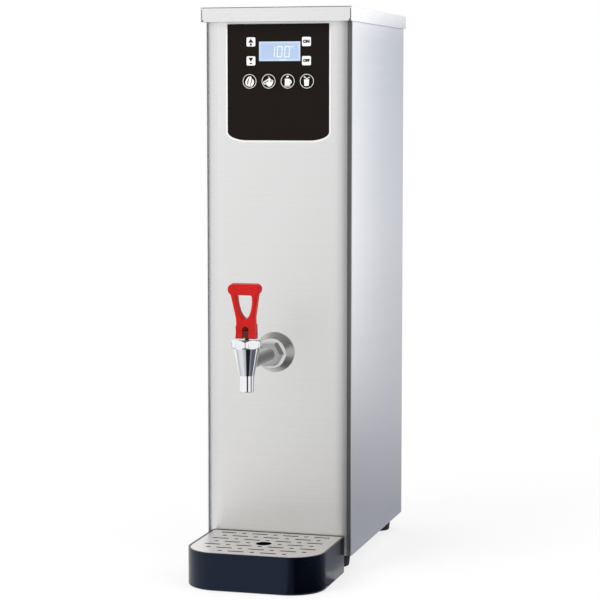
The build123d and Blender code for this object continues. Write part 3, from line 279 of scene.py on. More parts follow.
def moulded_plastic(name, rgb, roughness, texture, relief, specular, tint=(1.0, 1.0, 1.0)):
    """Moulded plastic with a fine skin and small changes of colour."""
    finish = Finish(name, Specular_IOR_Level=specular, Specular_Tint=(*tint, 1.0))
    cloud = finish.noise(35.0, 2.0)
    skin = finish.noise(texture, 2.0)
    finish.join("Base Color", finish.mix(cloud, shade(rgb, 0.9), shade(rgb, 1.08)))
    finish.join("Roughness", finish.ramp(cloud, roughness - 0.04, roughness + 0.05, 0.3, 0.7))
    return finish.bump(skin, relief, 0.5)


def lit_display(rgb):
    """The lit plate: even pale blue with a faint weave, a touch deeper in places."""
    finish = Finish("display_blue", Roughness=0.35, Specular_IOR_Level=0.1, Emission_Strength=0.93)
    weave = finish.noise((220.0, 220.0, 900.0), 2.0)
    cloud = finish.noise(60.0, 1.0)
    tone = finish.mix(cloud, shade(rgb, 0.96), shade(rgb, 1.05))
    finish.join("Emission Color", finish.mix(finish.ramp(weave, 0, 0.25), tone, (0.56, 0.62, 0.9)))
    return finish.join("Base Color", finish.mix(weave, (0.02, 0.03, 0.04), (0.03, 0.04, 0.05)))


def lit_print(name, rgb, strength):
    """Lit digits and lines of the display."""
    finish = Finish(name, Roughness=0.4, Specular_IOR_Level=0.1, Emission_Strength=strength)
    cloud = finish.noise(400.0, 2.0)
    finish.join("Emission Color", finish.mix(cloud, shade(rgb, 0.94), shade(rgb, 1.04)))
    return finish.join("Base Color", finish.mix(cloud, (0.03, 0.03, 0.03), (0.05, 0.05, 0.05)))


def printed_ink(name, rgb):
    """Screen-printed ink with slightly uneven cover."""
    finish = Finish(name, Specular_IOR_Level=0.15)
    cover = finish.noise(1500.0, 2.0)
    finish.join("Base Color", finish.mix(cover, shade(rgb, 0.9), shade(rgb, 1.05)))
    return finish.join("Roughness", finish.ramp(cover, 0.4, 0.55))


def circuit_board():
    """Green lacquer with lighter tracks."""
    finish = Finish("circuit_board", Coat_Weight=0.3)
    tracks = finish.node("TexBrick", {
        "Vector": finish.place, "Scale": 140.0, "Mortar Size": 0.03,
        "Color1": (0.01, 0.1, 0.03, 1), "Color2": (0.012, 0.13, 0.04, 1), "Mortar": (0.03, 0.2, 0.06, 1),
    }).outputs["Color"]
    finish.join("Base Color", tracks)
    return finish.join("Roughness", finish.ramp(finish.noise(300.0), 0.3, 0.45))


def insulation_foam():
    """Grey foam sheet with open pores."""
    finish = Finish("foam", Specular_IOR_Level=0.1)
    pores = finish.cells(420.0, "Distance")
    finish.join("Base Color", finish.mix(pores, (0.03, 0.03, 0.033), (0.09, 0.09, 0.1)))
    finish.join("Roughness", finish.ramp(pores, 0.8, 0.98))
    return finish.bump(pores, 0.0004, 0.7)


def threaded_nylon():
    """White nylon, with the turns of a pipe thread where it stands out of the rear."""
    finish = Finish("white_nylon", Specular_IOR_Level=0.35)
    cloud = finish.noise(60.0, 2.0)
    finish.join("Base Color", finish.mix(cloud, (0.62, 0.61, 0.57), (0.74, 0.73, 0.69)))
    finish.join("Roughness", finish.ramp(cloud, 0.38, 0.5))
    waves = finish.node("TexWave", {"Vector": finish.place, "Scale": 88.0}, bands_direction="Y")
    thread_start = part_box("rear_panel")[1][1] + 1.8 * MM
    outside = finish.maths("GREATER_THAN", finish.along("Y"), thread_start)
    return finish.bump(finish.maths("MULTIPLY", waves.outputs["Fac"], outside), 0.0009)


def all_finishes(steel, panel, plastic):
    """Makes every finish of the record, by the name of its slot, and the tap's darker ones that carry painted
    shade and a painted reflection.
    """
    front_sheet(steel)
    side_sheet(steel)
    cover_sheet(steel)
    slotted_sheet()
    galvanised_sheet()
    circuit_board()
    insulation_foam()
    threaded_nylon()
    lit_display(panel.display)
    printed_ink("white_print", (0.86, 0.86, 0.85))
    brushed_steel("tank_steel", (0.6, 0.6, 0.59), 0.0015, 0.34)
    for name, rgb, roughness, grain, wear in (
        ("chrome", steel.chrome, 0.06, 120.0, 0.02),
        ("satin_chrome", steel.satin, 0.12, 700.0, 0.05),
        # Darker copies of the chrome and a dark red steel: painted shade on the shank, nut and bonnet edges,
        # and painted shade with a painted red reflection of the lever on the stem.
        ("shank_chrome", shade(steel.chrome, 0.4), 0.1, 300.0, 0.04),
        ("nut_chrome", shade(steel.chrome, 0.4), 0.12, 300.0, 0.04),
        ("edge_chrome", shade(steel.chrome, 0.24), 0.12, 300.0, 0.04),
        ("dark_steel", (0.13, 0.03, 0.026), 0.3, 900.0, 0.06),
        ("screw_steel", (0.5, 0.5, 0.49), 0.28, 900.0, 0.06),
        ("spring_steel", (0.6, 0.6, 0.6), 0.2, 1500.0, 0.06),
        ("brass", (0.72, 0.48, 0.2), 0.24, 800.0, 0.08),
        ("element_metal", (0.5, 0.46, 0.42), 0.36, 600.0, 0.12),
    ):
        polished_metal(name, rgb, roughness, grain, wear)
    for name, rgb, roughness, texture, relief, specular in (
        ("black_rubber", plastic.feet, 0.6, 700.0, 0.0001, 0.25),
        ("black_overlay", panel.overlay, 0.5, 2600.0, 0.00002, 0.06),
        ("black_key", shade(panel.overlay, 0.8), 0.5, 2600.0, 0.00002, 0.06),
        ("white_key", (0.86, 0.86, 0.86), 0.45, 1800.0, 0.00002, 0.3),
        ("red_plastic", plastic.lever, 0.2, 500.0, 0.00002, 0.18),
        ("dark_plastic", (0.016, 0.016, 0.018), 0.45, 900.0, 0.00004, 0.4),
        ("grey_plastic", (0.2, 0.205, 0.21), 0.45, 900.0, 0.00004, 0.4),
        ("silicone", (0.5, 0.48, 0.44), 0.5, 300.0, 0.00005, 0.3),
    ):
        moulded_plastic(name, rgb, roughness, texture, relief, specular)
    moulded_plastic("tray_plastic", plastic.tray, 0.24, 1400.0, 0.00003, 0.42, (0.45, 0.62, 1.0))


def finish_of(context, slot):
    """The finish of a slot, made with the others the first time that one is asked for."""
    name = "boiler_" + slot
    if name not in bpy.data.materials:
        scene = context.scene
        all_finishes(scene.boiler_steel, scene.boiler_panel, scene.boiler_plastic)
    return bpy.data.materials[name]


def dress(context, *names):
    """Gives these CAD nodes the finish of their slot in the record."""
    slots = {part["node"]: part["material_slot"] for part in frame["record"]["subparts"]}
    for name in names:
        refinish(context, name, slots[name])


def refinish(context, name, slot):
    """Gives a CAD node this finish."""
    mesh = frame["nodes"][name].data
    mesh.materials.clear()
    mesh.materials.append(finish_of(context, slot))


# Mesh helpers


def add_piece(name, mesh, material, body):
    """A mesh object that rides on a body and takes its finish from a slot."""
    piece = bpy.data.objects.new(name, mesh)
    bpy.context.scene.collection.objects.link(piece)
    mesh.materials.clear()
    mesh.materials.append(material)
    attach(piece, body)


def upright(x, y, z):
    """Turns a drawing in X and Y to face the front, with its origin at this place."""
    return Matrix.Translation((x, y, z)) @ Matrix.Rotation(math.pi / 2, 4, "X")


def curve_mesh(curve, place):
    """The mesh of a flat curve or text, moved to its place."""
    holder = bpy.data.objects.new(curve.name, curve)
    bpy.context.scene.collection.objects.link(holder)
    graph = bpy.context.evaluated_depsgraph_get()
    graph.update()
    mesh = bpy.data.meshes.new_from_object(holder.evaluated_get(graph))
    bpy.data.objects.remove(holder)
    bpy.data.curves.remove(curve)
    mesh.transform(place)
    return mesh


def print_mesh(name, loops, place, thick=PRINT_T):
    """A thin printed shape from closed loops in millimetres. A loop inside another is a hole."""
    curve = bpy.data.curves.new(name, "CURVE")
    curve.dimensions, curve.fill_mode, curve.extrude = "2D", "BOTH", thick / 2
    for loop in loops:
        line = curve.splines.new("POLY")
        line.points.add(len(loop) - 1)
        for point, (x, y) in zip(line.points, loop):
            point.co = (x * MM, y * MM, 0, 1)
        line.use_cyclic_u = True
    return curve_mesh(curve, place)


def word_mesh(name, text, height, place, heavier=0.0):
    """A thin printed word, centred on its place."""
    curve = bpy.data.curves.new(name, "FONT")
    curve.body, curve.size, curve.offset = text, height * MM, heavier * MM
    curve.align_x, curve.align_y, curve.extrude = "CENTER", "CENTER", PRINT_T / 2
    return curve_mesh(curve, place)


def joined(name, meshes):
    """One mesh from several."""
    work = bmesh.new()
    for mesh in meshes:
        work.from_mesh(mesh)
        bpy.data.meshes.remove(mesh)
    made = bpy.data.meshes.new(name)
    work.to_mesh(made)
    work.free()
    return made


def oval(x, y, rx, ry, turn=0.0, steps=36):
    """A closed oval in millimetres."""
    c, s = math.cos(math.radians(turn)), math.sin(math.radians(turn))
    loop = []
    for i in range(steps):
        a = math.tau * i / steps
        u, v = rx * math.cos(a), ry * math.sin(a)
        loop.append((x + c * u - s * v, y + s * u + c * v))
    return loop


def plus_loop(arm, half, y=0.0):
    """A cross in millimetres, with the length of its arms and half their width."""
    quarter = [(half, half), (arm, half), (arm, -half)]
    loop = []
    for _ in range(4):
        loop += quarter
        quarter = [(v, -u) for u, v in quarter]
    return [(u, y + v) for u, v in loop]


def leaf(foot, tip, left, right, steps=14):
    """A lens from foot to tip whose two edges stand off the line between them by left and right."""
    dx, dy = tip[0] - foot[0], tip[1] - foot[1]
    size = math.hypot(dx, dy)
    nx, ny = dy / size, -dx / size
    sides = []
    for off in (left, right):
        row = []
        for i in range(steps + 1):
            t = i / steps
            swell = 4 * t * (1 - t) * off
            row.append((foot[0] + dx * t + nx * swell, foot[1] + dy * t + ny * swell))
        sides.append(row)
    return sides[0] + sides[1][-2:0:-1]


def rounded(width, height, radius, x=0.0, y=0.0, steps=6):
    """A rectangle with rounded corners."""
    loop = []
    for cx, cy, start in ((1, 1, 0), (-1, 1, 90), (-1, -1, 180), (1, -1, 270)):
        for i in range(steps + 1):
            a = math.radians(start + 90 * i / steps)
            loop.append((x + cx * (width / 2 - radius) + radius * math.cos(a),
                         y + cy * (height / 2 - radius) + radius * math.sin(a)))
    return loop


def face_of(node):
    """The middle of a node's front face, just proud of it."""
    low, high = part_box(node)
    return (low[0] + high[0]) / 2, low[1] - PRINT_T / 2 - PRINT_LIFT, (low[2] + high[2]) / 2


def islands(node):
    """The boxes of a node's separate solids, as (lowest corner, highest corner)."""
    work = bmesh.new()
    work.from_mesh(frame["nodes"][node].data)
    bmesh.ops.remove_doubles(work, verts=work.verts, dist=1e-6)
    left, found = set(work.verts), []
    while left:
        group, queue = set(), [left.pop()]
        while queue:
            vert = queue.pop()
            group.add(vert)
            for edge in vert.link_edges:
                other = edge.other_vert(vert)
                if other in left:
                    left.discard(other)
                    queue.append(other)
        points = [vert.co for vert in group]
        found.append((Vector(map(min, *points)), Vector(map(max, *points))))
    work.free()
    return sorted(found, key=lambda pair: tuple(pair[0]))


# Pieces


class BOILER_OT_case(bpy.types.Operator):
    """Finish the steel case: front, sides, cover, rear and base"""
    bl_idname = "boiler.case"
    bl_label = "Case"

    def execute(self, context):
        dress(context, "front_panel", "left_side_panel", "right_side_panel", "lid", "rear_panel",
              "base_plate")
        return {"FINISHED"}


class BOILER_OT_feet(bpy.types.Operator):
    """Finish the rubber feet and their screws"""
    bl_idname = "boiler.feet"
    bl_label = "Feet"

    def execute(self, context):
        dress(context, "feet", "foot_screws")
        return {"FINISHED"}


class BOILER_OT_case_screws(bpy.types.Operator):
    """Finish the screws of the case and print a dark cross on each head as the painted shade of its recess"""
    bl_idname = "boiler.case_screws"
    bl_label = "Case Screws"

    # The cross in millimetres
    arm, half = 1.9, 0.32

    def execute(self, context):
        dress(context, "case_screws")
        crosses = []
        cross = plus_loop(self.arm, self.half)
        for low, high in islands("case_screws"):
            place = Matrix.Translation(((low.x + high.x) / 2, high.y + PRINT_LIFT, (low.z + high.z) / 2))
            crosses.append(print_mesh("cross", [cross], place @ Matrix.Rotation(math.radians(-90), 4, "X")))
        if not crosses:
            raise RuntimeError("no screw heads were found")
        # Painted shade: each cross is a flat dark print that stands in for the shade of the recess.
        dark = finish_of(context, "dark_plastic")
        add_piece("screw_crosses", joined("screw_crosses", crosses), dark, "case")
        return {"FINISHED"}


class BOILER_OT_control_panel(bpy.types.Operator):
    """Finish the control panel's white carrier, its black overlay and the boards behind them"""
    bl_idname = "boiler.control_panel"
    bl_label = "Control Panel"

    def execute(self, context):
        dress(context, "panel_carrier", "panel_overlay", "lcd_module", "control_board", "board_pillars",
              "key_switches")
        return {"FINISHED"}


# The bars of each digit: a, g and d across from the top, b and c at the right, f and e at the left.
SEGMENTS = {
    "0": "abcdef", "1": "bc", "2": "abged", "3": "abgcd", "4": "fgbc", "5": "afgcd", "6": "afgedc",
    "7": "abc", "8": "abcdefg", "9": "abcdfg",
}


def segment_loops(digit, x, low, wide, tall, bar, slant, gap=0.12):
    """The lit bars of one digit in millimetres."""
    mid, right = tall / 2, wide - bar
    above, below = mid + bar / 2, mid - bar / 2
    bars = {
        "a": [(gap, tall), (wide - gap, tall), (right, tall - bar), (bar, tall - bar)],
        "d": [(gap, 0), (wide - gap, 0), (right, bar), (bar, bar)],
        "b": [(wide, tall - gap), (wide, mid + gap), (right, above), (right, tall - bar - gap)],
        "c": [(wide, gap), (wide, mid - gap), (right, below), (right, bar + gap)],
        "f": [(0, tall - gap), (0, mid + gap), (bar, above), (bar, tall - bar - gap)],
        "e": [(0, gap), (0, mid - gap), (bar, below), (bar, bar + gap)],
        "g": [(bar, above), (right, above), (wide - gap, mid), (right, below), (bar, below), (gap, mid)],
    }
    return [[(x + u + slant * v, low + v) for u, v in bars[name]] for name in SEGMENTS[digit]]


class BOILER_OT_display(bpy.types.Operator):
    """Light the display: a paler rim, the reading in slanted bars, its unit and a painted highlight near its
    foot
    """
    bl_idname = "boiler.display"
    bl_label = "Display"

    # All in millimetres from the middle of the plate
    rim_outer, rim_inner = 0.4, 4.4
    glow_x, glow_rise, glow_long, glow_tall = 4.6, 1.4, 5.4, 0.8
    wide, tall, bar, slant = 7.4, 14.2, 1.4, 0.07
    pitch, last_left, low = 9.7, 5.6, -7.7
    ring_place, ring_r, ring_hole_r = (15.9, 6.0), 0.85, 0.35
    letter_x, letter_y, letter = 18.1, 4.6, 4.4

    def execute(self, context):
        dress(context, "display_window")
        low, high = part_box("display_window")
        width, height = (high[0] - low[0]) / MM, (high[2] - low[2]) / MM
        x, y, z = face_of("display_window")
        place = upright(x, y, z)
        rim = print_mesh("display_rim", [
            rounded(width - self.rim_outer, height - self.rim_outer, 0.6),
            rounded(width - self.rim_inner, height - self.rim_inner, 0.3),
        ], place)
        self.light("display_rim", rim, (0.58, 0.75, 0.92), 0.97)
        # A painted highlight: a small bright oval in front of the plate near its foot.
        glow = oval(self.glow_x, self.glow_rise - height / 2, self.glow_long, self.glow_tall)
        shine = print_mesh("display_glow", [glow], upright(x, y - PRINT_T, z))
        self.light("display_glow", shine, (0.86, 0.95, 1.0), 1.0)
        digits = tuple(context.scene.boiler_panel.digits)
        reading = print_mesh("reading", self.reading_loops(context.scene.boiler_panel.reading), place)
        self.light("display_digits", reading, digits, 0.98)
        ring = [oval(*self.ring_place, radius, radius) for radius in (self.ring_r, self.ring_hole_r)]
        letter_place = place @ Matrix.Translation((self.letter_x * MM, self.letter_y * MM, 0))
        unit = [print_mesh("ring", ring, place), word_mesh("unit", "C", self.letter, letter_place)]
        self.light("display_unit", joined("display_unit", unit), digits, 0.98)
        return {"FINISHED"}

    def reading_loops(self, reading):
        """The lit bars of the whole reading, set out from its last digit."""
        start = self.last_left - self.pitch * (len(reading) - 1)
        loops = []
        for column, digit in enumerate(reading):
            if digit not in SEGMENTS:
                raise ValueError("the reading may hold digits only")
            left = start + column * self.pitch
            loops += segment_loops(digit, left, self.low, self.wide, self.tall, self.bar, self.slant)
        return loops

    @staticmethod
    def light(name, mesh, rgb, strength):
        """Adds a lit piece of the display."""
        add_piece(name, mesh, lit_print(name, rgb, strength).material, "case")


class BOILER_OT_square_keys(bpy.types.Operator):
    """Finish the four square keys and print their black signs"""
    bl_idname = "boiler.square_keys"
    bl_label = "Square Keys"

    # How much the letters' outlines are widened, in millimetres
    bold = 0.42

    def execute(self, context):
        dress(context, "key_up", "key_down", "key_on", "key_off")
        ink = printed_ink("black_print", (0.012, 0.011, 0.011)).material
        up = [(0, 4.3), (3.3, -1.0), (-3.3, -1.0)]
        down = [(0, -1.2), (3.3, 4.1), (-3.3, 4.1)]
        plus = plus_loop(1.7, 0.7, -3.4)
        minus = [(-1.7, -2.5), (1.7, -2.5), (1.7, -4.0), (-1.7, -4.0)]
        for key, loops in (("key_up", [up, plus]), ("key_down", [down, minus])):
            sign = print_mesh(key, loops, upright(*face_of(key)))
            add_piece(key + "_sign", sign, ink, key)
        for key, word, size in (("key_on", "ON", 5.2), ("key_off", "OFF", 4.6)):
            sign = word_mesh(key, word, size, upright(*face_of(key)), self.bold)
            add_piece(key + "_sign", sign, ink, key)
        return {"FINISHED"}


def smooth(points, steps=6):
    """A closed loop that passes softly through these points."""
    loop, count = [], len(points)
    for i in range(count):
        a, b, c, d = (points[(i + k) % count] for k in (-1, 0, 1, 2))
        for step in range(steps):
            t = step / steps
            loop.append(tuple(
                b[k] + 0.5 * t * (c[k] - a[k] + t * (2 * a[k] - 5 * b[k] + 4 * c[k] - d[k]
                                                     + t * (3 * (b[k] - c[k]) + d[k] - a[k])))
                for k in (0, 1)))
    return loop


def bean_sign():
    """Three curved slices of a coffee bean."""
    left = [(-2.4, -6.5), (-4.9, -4.9), (-5.9, -1.6), (-4.3, 2.6), (-0.7, 6.7), (-1.5, 3.4), (-3.2, 0.0),
            (-3.1, -3.6)]
    middle = [(-1.3, -7.0), (-2.0, -3.4), (-0.9, 1.3), (0.6, 6.7), (2.5, 5.4), (2.6, 2.0), (1.2, -2.2),
              (0.3, -6.6)]
    right = [(1.2, -7.0), (2.0, -3.4), (3.6, 0.2), (4.4, 3.2), (5.9, 0.3), (5.9, -2.8), (4.0, -6.0)]
    return [[smooth(left)], [smooth(middle)], [smooth(right)]]


def hot_cup_sign():
    """A wide cup with a handle at the left, and steam."""
    bowl = smooth([(-3.8, 0.2), (1.2, -1.1), (6.1, 0.2), (5.9, -2.6), (4.2, -5.4), (1.3, -7.1), (-1.8, -5.8),
                   (-3.7, -2.9)])
    steam = smooth([(-0.6, 7.6), (0.6, 5.7), (2.3, 4.1), (2.7, 2.8), (0.7, 2.6), (-2.0, 2.3), (0.2, 3.7),
                    (0.2, 5.2)])
    rim = [oval(1.1, 0.6, 5.5, 1.9), oval(1.1, 0.5, 4.3, 0.75)]
    coffee = oval(0.9, 0.5, 1.2, 0.75)
    handle = [oval(-5.0, -1.9, 2.3, 2.4), oval(-4.9, -1.8, 1.1, 1.2)]
    return [[bowl], [steam], rim, [coffee], handle]


def mug_sign():
    """A straight mug with a handle at the right."""
    body = [(-3.8, 3.4), (2.8, 3.4), (2.9, -4.4), (3.6, -5.8), (-4.3, -5.8), (-3.8, -4.4)]
    turns = [math.pi * i / 14 - math.pi / 2 for i in range(15)]
    grip = [(2.82 + 2.7 * math.cos(a), 3.1 * math.sin(a) - 0.8) for a in turns]
    grip += [(2.82 + 1.1 * math.cos(a), 1.3 * math.sin(a) - 0.8) for a in reversed(turns)]
    steam = oval(-0.1, 6.2, 1.9, 0.95, 25)
    saucer = rounded(9.0, 0.5, 0.2, -0.3, -6.9)
    return [[body], [grip], [steam], [saucer]]


def glass_sign():
    """A tumbler with ice and a straw."""
    tumbler = [(-3.9, 2.4), (3.2, 2.4), (2.4, -6.2), (-3.3, -6.2)]
    ice = [oval(-2.9, 5.3, 1.4, 0.8, -25)], [oval(-0.1, 3.7, 1.7, 0.6, 10)]
    straw = leaf((1.2, 3.9), (4.7, 5.9), -0.4, 0.6)
    return [[tumbler], *ice, [straw]]


class BOILER_OT_round_keys(bpy.types.Operator):
    """Finish the four round keys and print a ring and a sign on each"""
    bl_idname = "boiler.round_keys"
    bl_label = "Round Keys"

    # Millimetres, and the share of its drawn size that a sign is printed at
    ring_r, ring_line = 8.95, 0.6
    sign_size = 0.94

    def execute(self, context):
        signs = {"key_bean": bean_sign, "key_hot_cup": hot_cup_sign, "key_mug": mug_sign,
                 "key_glass": glass_sign}
        dress(context, *signs)
        white = printed_ink("white_sign", context.scene.boiler_panel.signs).material
        grey = printed_ink("grey_ring", (0.86, 0.84, 0.82)).material
        for key, draw in signs.items():
            place = upright(*face_of(key))
            circles = [oval(0, 0, radius, radius, steps=72) for radius in
                       (self.ring_r, self.ring_r - self.ring_line)]
            add_piece(key + "_ring", print_mesh(key, circles, place), grey, key)
            sign_place = place @ Matrix.Scale(self.sign_size, 4)
            shapes = [print_mesh(key, loops, sign_place) for loops in draw()]
            add_piece(key + "_sign", joined(key + "_sign", shapes), white, key)
        return {"FINISHED"}


class BOILER_OT_tap(bpy.types.Operator):
    """Finish the chromed tap, its bell and nut, and what works inside it, with painted shade on the stem,
    shank, nut and bonnet edges
    """
    bl_idname = "boiler.tap"
    bl_label = "Tap"

    corner_round = 1.1 * MM
    corner_angle = math.radians(54)

    def execute(self, context):
        dress(context, "tap_body", "tap_shank", "tap_bonnet", "tap_stem", "seat_cup", "tap_spring", "tap_nut",
              "escutcheon", "tap_spacer", "tap_seal", "tap_locknut")
        # Painted shade: the stem takes a dark red steel that also paints the lever's reflection, the shank
        # and nut a darker chrome.
        refinish(context, "tap_stem", "dark_steel")
        refinish(context, "tap_shank", "shank_chrome")
        refinish(context, "tap_nut", "nut_chrome")
        bonnet = frame["nodes"]["tap_bonnet"]
        bonnet.modifiers.new("weld", "WELD").merge_threshold = 0.01 * MM
        # Painted shade: the bonnet's rounded corners take a dark chrome.
        bevel = bonnet.modifiers.new("round_corners", "BEVEL")
        bevel.width, bevel.segments, bevel.material = self.corner_round, 3, 1
        bevel.limit_method, bevel.angle_limit = "ANGLE", self.corner_angle
        bonnet.data.materials.append(finish_of(context, "edge_chrome"))
        for name in ("tap_body", "tap_shank", "tap_bonnet", "tap_nut", "escutcheon"):
            frame["nodes"][name].visible_glossy = False
        return {"FINISHED"}


class BOILER_OT_lever(bpy.types.Operator):
    """Finish the red lever and its pin, and close the fork's slot from behind"""
    bl_idname = "boiler.lever"
    bl_label = "Lever"

    # The web in millimetres from the pin
    half, foot, arch, back, thick = 4.1, 2.0, 3.6, 4.35, 0.6

    def execute(self, context):
        dress(context, "tap_lever")
        refinish(context, "tap_pin", "dark_plastic")
        frame["nodes"]["tap_lever"].visible_glossy = False
        low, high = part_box("tap_pin")
        x, y, z = [(a + b) / 2 for a, b in zip(low, high)]
        turns = [math.pi * i / 12 for i in range(13)]
        web = [(-self.half, self.foot), (self.half, self.foot)]
        web += [(self.half * math.cos(a), self.arch + self.half * math.sin(a)) for a in turns]
        place = upright(x, y + self.back * MM, z)
        mesh = print_mesh("fork_web", [web], place, self.thick * MM)
        add_piece("fork_web", mesh, finish_of(context, "red_plastic"), "tap_lever")
        return {"FINISHED"}


class BOILER_OT_drip_tray(bpy.types.Operator):
    """Finish the drip tray and its slotted grate"""
    bl_idname = "boiler.drip_tray"
    bl_label = "Drip Tray"

    def execute(self, context):
        dress(context, "drip_tray", "drip_grate")
        return {"FINISHED"}


class BOILER_OT_ports(bpy.types.Operator):
    """Finish the water inlet, the overflow, their hoses and the cable gland"""
    bl_idname = "boiler.ports"
    bl_label = "Rear Ports"

    def execute(self, context):
        dress(context, "inlet_valve", "fill_hose", "overflow_elbow", "overflow_hose", "cord_gland")
        return {"FINISHED"}


class BOILER_OT_tank(bpy.types.Operator):
    """Finish the tank, its cover, jacket, heater and probes"""
    bl_idname = "boiler.tank"
    bl_label = "Tank and Heater"

    def execute(self, context):
        dress(context, "tank", "tank_gasket", "tank_lid", "tank_lid_bolts", "tank_jacket", "tank_stand",
              "heating_element", "element_nut", "temperature_probe", "level_probes",
              "safety_thermostat")
        return {"FINISHED"}


class BOILER_OT_power(bpy.types.Operator):
    """Finish the power board, its parts and the loom"""
    bl_idname = "boiler.power"
    bl_label = "Power Board"

    def execute(self, context):
        dress(context, "power_board", "power_pillars", "power_components", "terminal_block", "wiring_loom")
        return {"FINISHED"}


# Studio

WHITE = (1.0, 1.0, 1.0, 1.0)
CARD_Y, CARD_FOOT, CARD_TOP = 0.42, -0.1, 1.3
NO_RAYS = ("camera", "diffuse", "shadow", "transmission", "volume_scatter")

# Heights in metres with the colour at each, for the cards that the right side mirrors.
SIDE_STOPS = [
    (0.0, (0.40, 0.405, 0.45)), (0.05, (0.42, 0.425, 0.475)), (0.13, (0.52, 0.53, 0.575)),
    (0.21, (0.57, 0.58, 0.625)), (0.29, (0.6, 0.61, 0.65)), (0.4, (0.645, 0.66, 0.70)),
    (0.58, (0.61, 0.635, 0.68)), (0.70, (0.56, 0.585, 0.63)), (0.74, (0.98, 0.985, 1.0)),
    (1.3, (1.1, 1.1, 1.1)),
]
EDGE_STOPS = [
    (0.0, (0.34, 0.345, 0.39)), (0.05, (0.4, 0.405, 0.44)), (0.13, (0.62, 0.625, 0.66)),
    (0.21, (0.98, 0.985, 1.0)), (0.29, (1.25, 1.25, 1.27)), (0.4, (1.45, 1.45, 1.47)),
    (1.3, (1.6, 1.6, 1.6)),
]

# Start and end in degrees from straight ahead, and the colour, for the cards that lie on the floor.
FLOOR_NEAR, FLOOR_FAR, FLOOR_CARD_Z = 0.3, 0.85, 0.0012
FLOOR_CARDS = (
    ("outer_floor", -165, -108, (0.42, 0.435, 0.47)), ("far_left_floor", -108, -72, (0.6, 0.62, 0.66)),
    ("left_floor", -72, -20, (0.8, 0.81, 0.84)), ("front_floor", -20, -3, (0.58, 0.6, 0.64)),
    ("near_floor", -3, 8, (0.45, 0.47, 0.51)), ("dark_floor", 8, 49, (0.012, 0.013, 0.016)),
    ("pale_floor", 49, 66, (0.24, 0.255, 0.29)), ("blue_floor", 66, 110, (0.105, 0.12, 0.15)),
    ("grey_floor", 122, 142, (0.25, 0.26, 0.28)),
)
CORNER_R, CORNER_NEAR, CORNER_FAR, CORNER_CARD_Z = 0.045, 0.047, 0.3, 0.0018
CORNER_CARDS = (
    ("corner_start", 6, 20, (0.3, 0.31, 0.33)), ("corner_dark", 20, 60, (0.0, 0.0, 0.001)),
    ("corner_turn", 60, 84, (0.03, 0.04, 0.055)), ("corner_side", 84, 110, (0.1, 0.115, 0.14)),
    ("corner_end", 110, 135, (0.22, 0.235, 0.27)),
)

CAMERA_X, CAMERA_AHEAD, CAMERA_Z = 0.70977, 2.470962, 0.5978
CAMERA_TILT, CAMERA_TURN = 84.44, 15.416


def camera_share(tree):
    """1 for rays from the camera, a shiny surface or glass, and 0 for the others."""
    path = add_node(tree, "LightPath")
    total = path.outputs["Is Camera Ray"]
    for name in ("Is Glossy Ray", "Is Transmission Ray"):
        total = add_node(tree, "Math", {0: total, 1: path.outputs[name]}, operation="MAXIMUM").outputs[0]
    return total


def white_world(ambient):
    """White where the camera or a shiny surface sees it, and an even soft light elsewhere."""
    world = bpy.data.worlds.new("studio")
    world.use_nodes = True
    tree = world.node_tree
    strength = add_node(tree, "MapRange", {"Value": camera_share(tree), "To Min": ambient, "To Max": 1.0})
    background = tree.nodes["Background"]
    background.inputs["Color"].default_value = WHITE
    tree.links.new(strength.outputs[0], background.inputs["Strength"])
    return world


def bare_material(name):
    """A material with an empty tree."""
    material = bpy.data.materials.new(name)
    material.use_nodes = True
    material.node_tree.nodes.clear()
    return material


def stage_mesh(name, mesh, material):
    """An object that belongs to the studio."""
    mesh.materials.append(material)
    stand = bpy.data.objects.new(name, mesh)
    bpy.context.scene.collection.objects.link(stand)
    return stand


def studio_floor(radius=6.0, reach=0.9):
    """A white round floor that keeps the shadow within reach of the boiler and fades to white around it."""
    mesh = bpy.data.meshes.new("floor")
    work = bmesh.new()
    bmesh.ops.create_circle(work, cap_ends=True, cap_tris=True, segments=96, radius=radius)
    work.to_mesh(mesh)
    work.free()
    material = bare_material("studio_floor")
    tree = material.node_tree
    place = add_node(tree, "TexCoord").outputs["Object"]
    scaled = add_node(tree, "Mapping", {"Vector": place, "Scale": (1 / reach, 1 / reach, 1.0)})
    near = add_node(tree, "TexGradient", {"Vector": scaled.outputs[0]}, gradient_type="SPHERICAL")
    fade = add_node(tree, "MapRange", {
        "Value": near.outputs["Fac"], "From Max": 0.7, "To Min": 1.0, "To Max": 0.72,
    })
    seen = add_node(tree, "Math", {0: fade.outputs[0], 1: camera_share(tree)}, operation="MULTIPLY")
    matt = add_node(tree, "BsdfDiffuse", {"Color": WHITE})
    glow = add_node(tree, "Emission")
    blend = add_node(tree, "MixShader", {0: seen.outputs[0], 1: matt.outputs[0], 2: glow.outputs[0]})
    add_node(tree, "OutputMaterial", {"Surface": blend.outputs[0]})
    stage_mesh("floor", mesh, material).location.z = -0.5 * MM


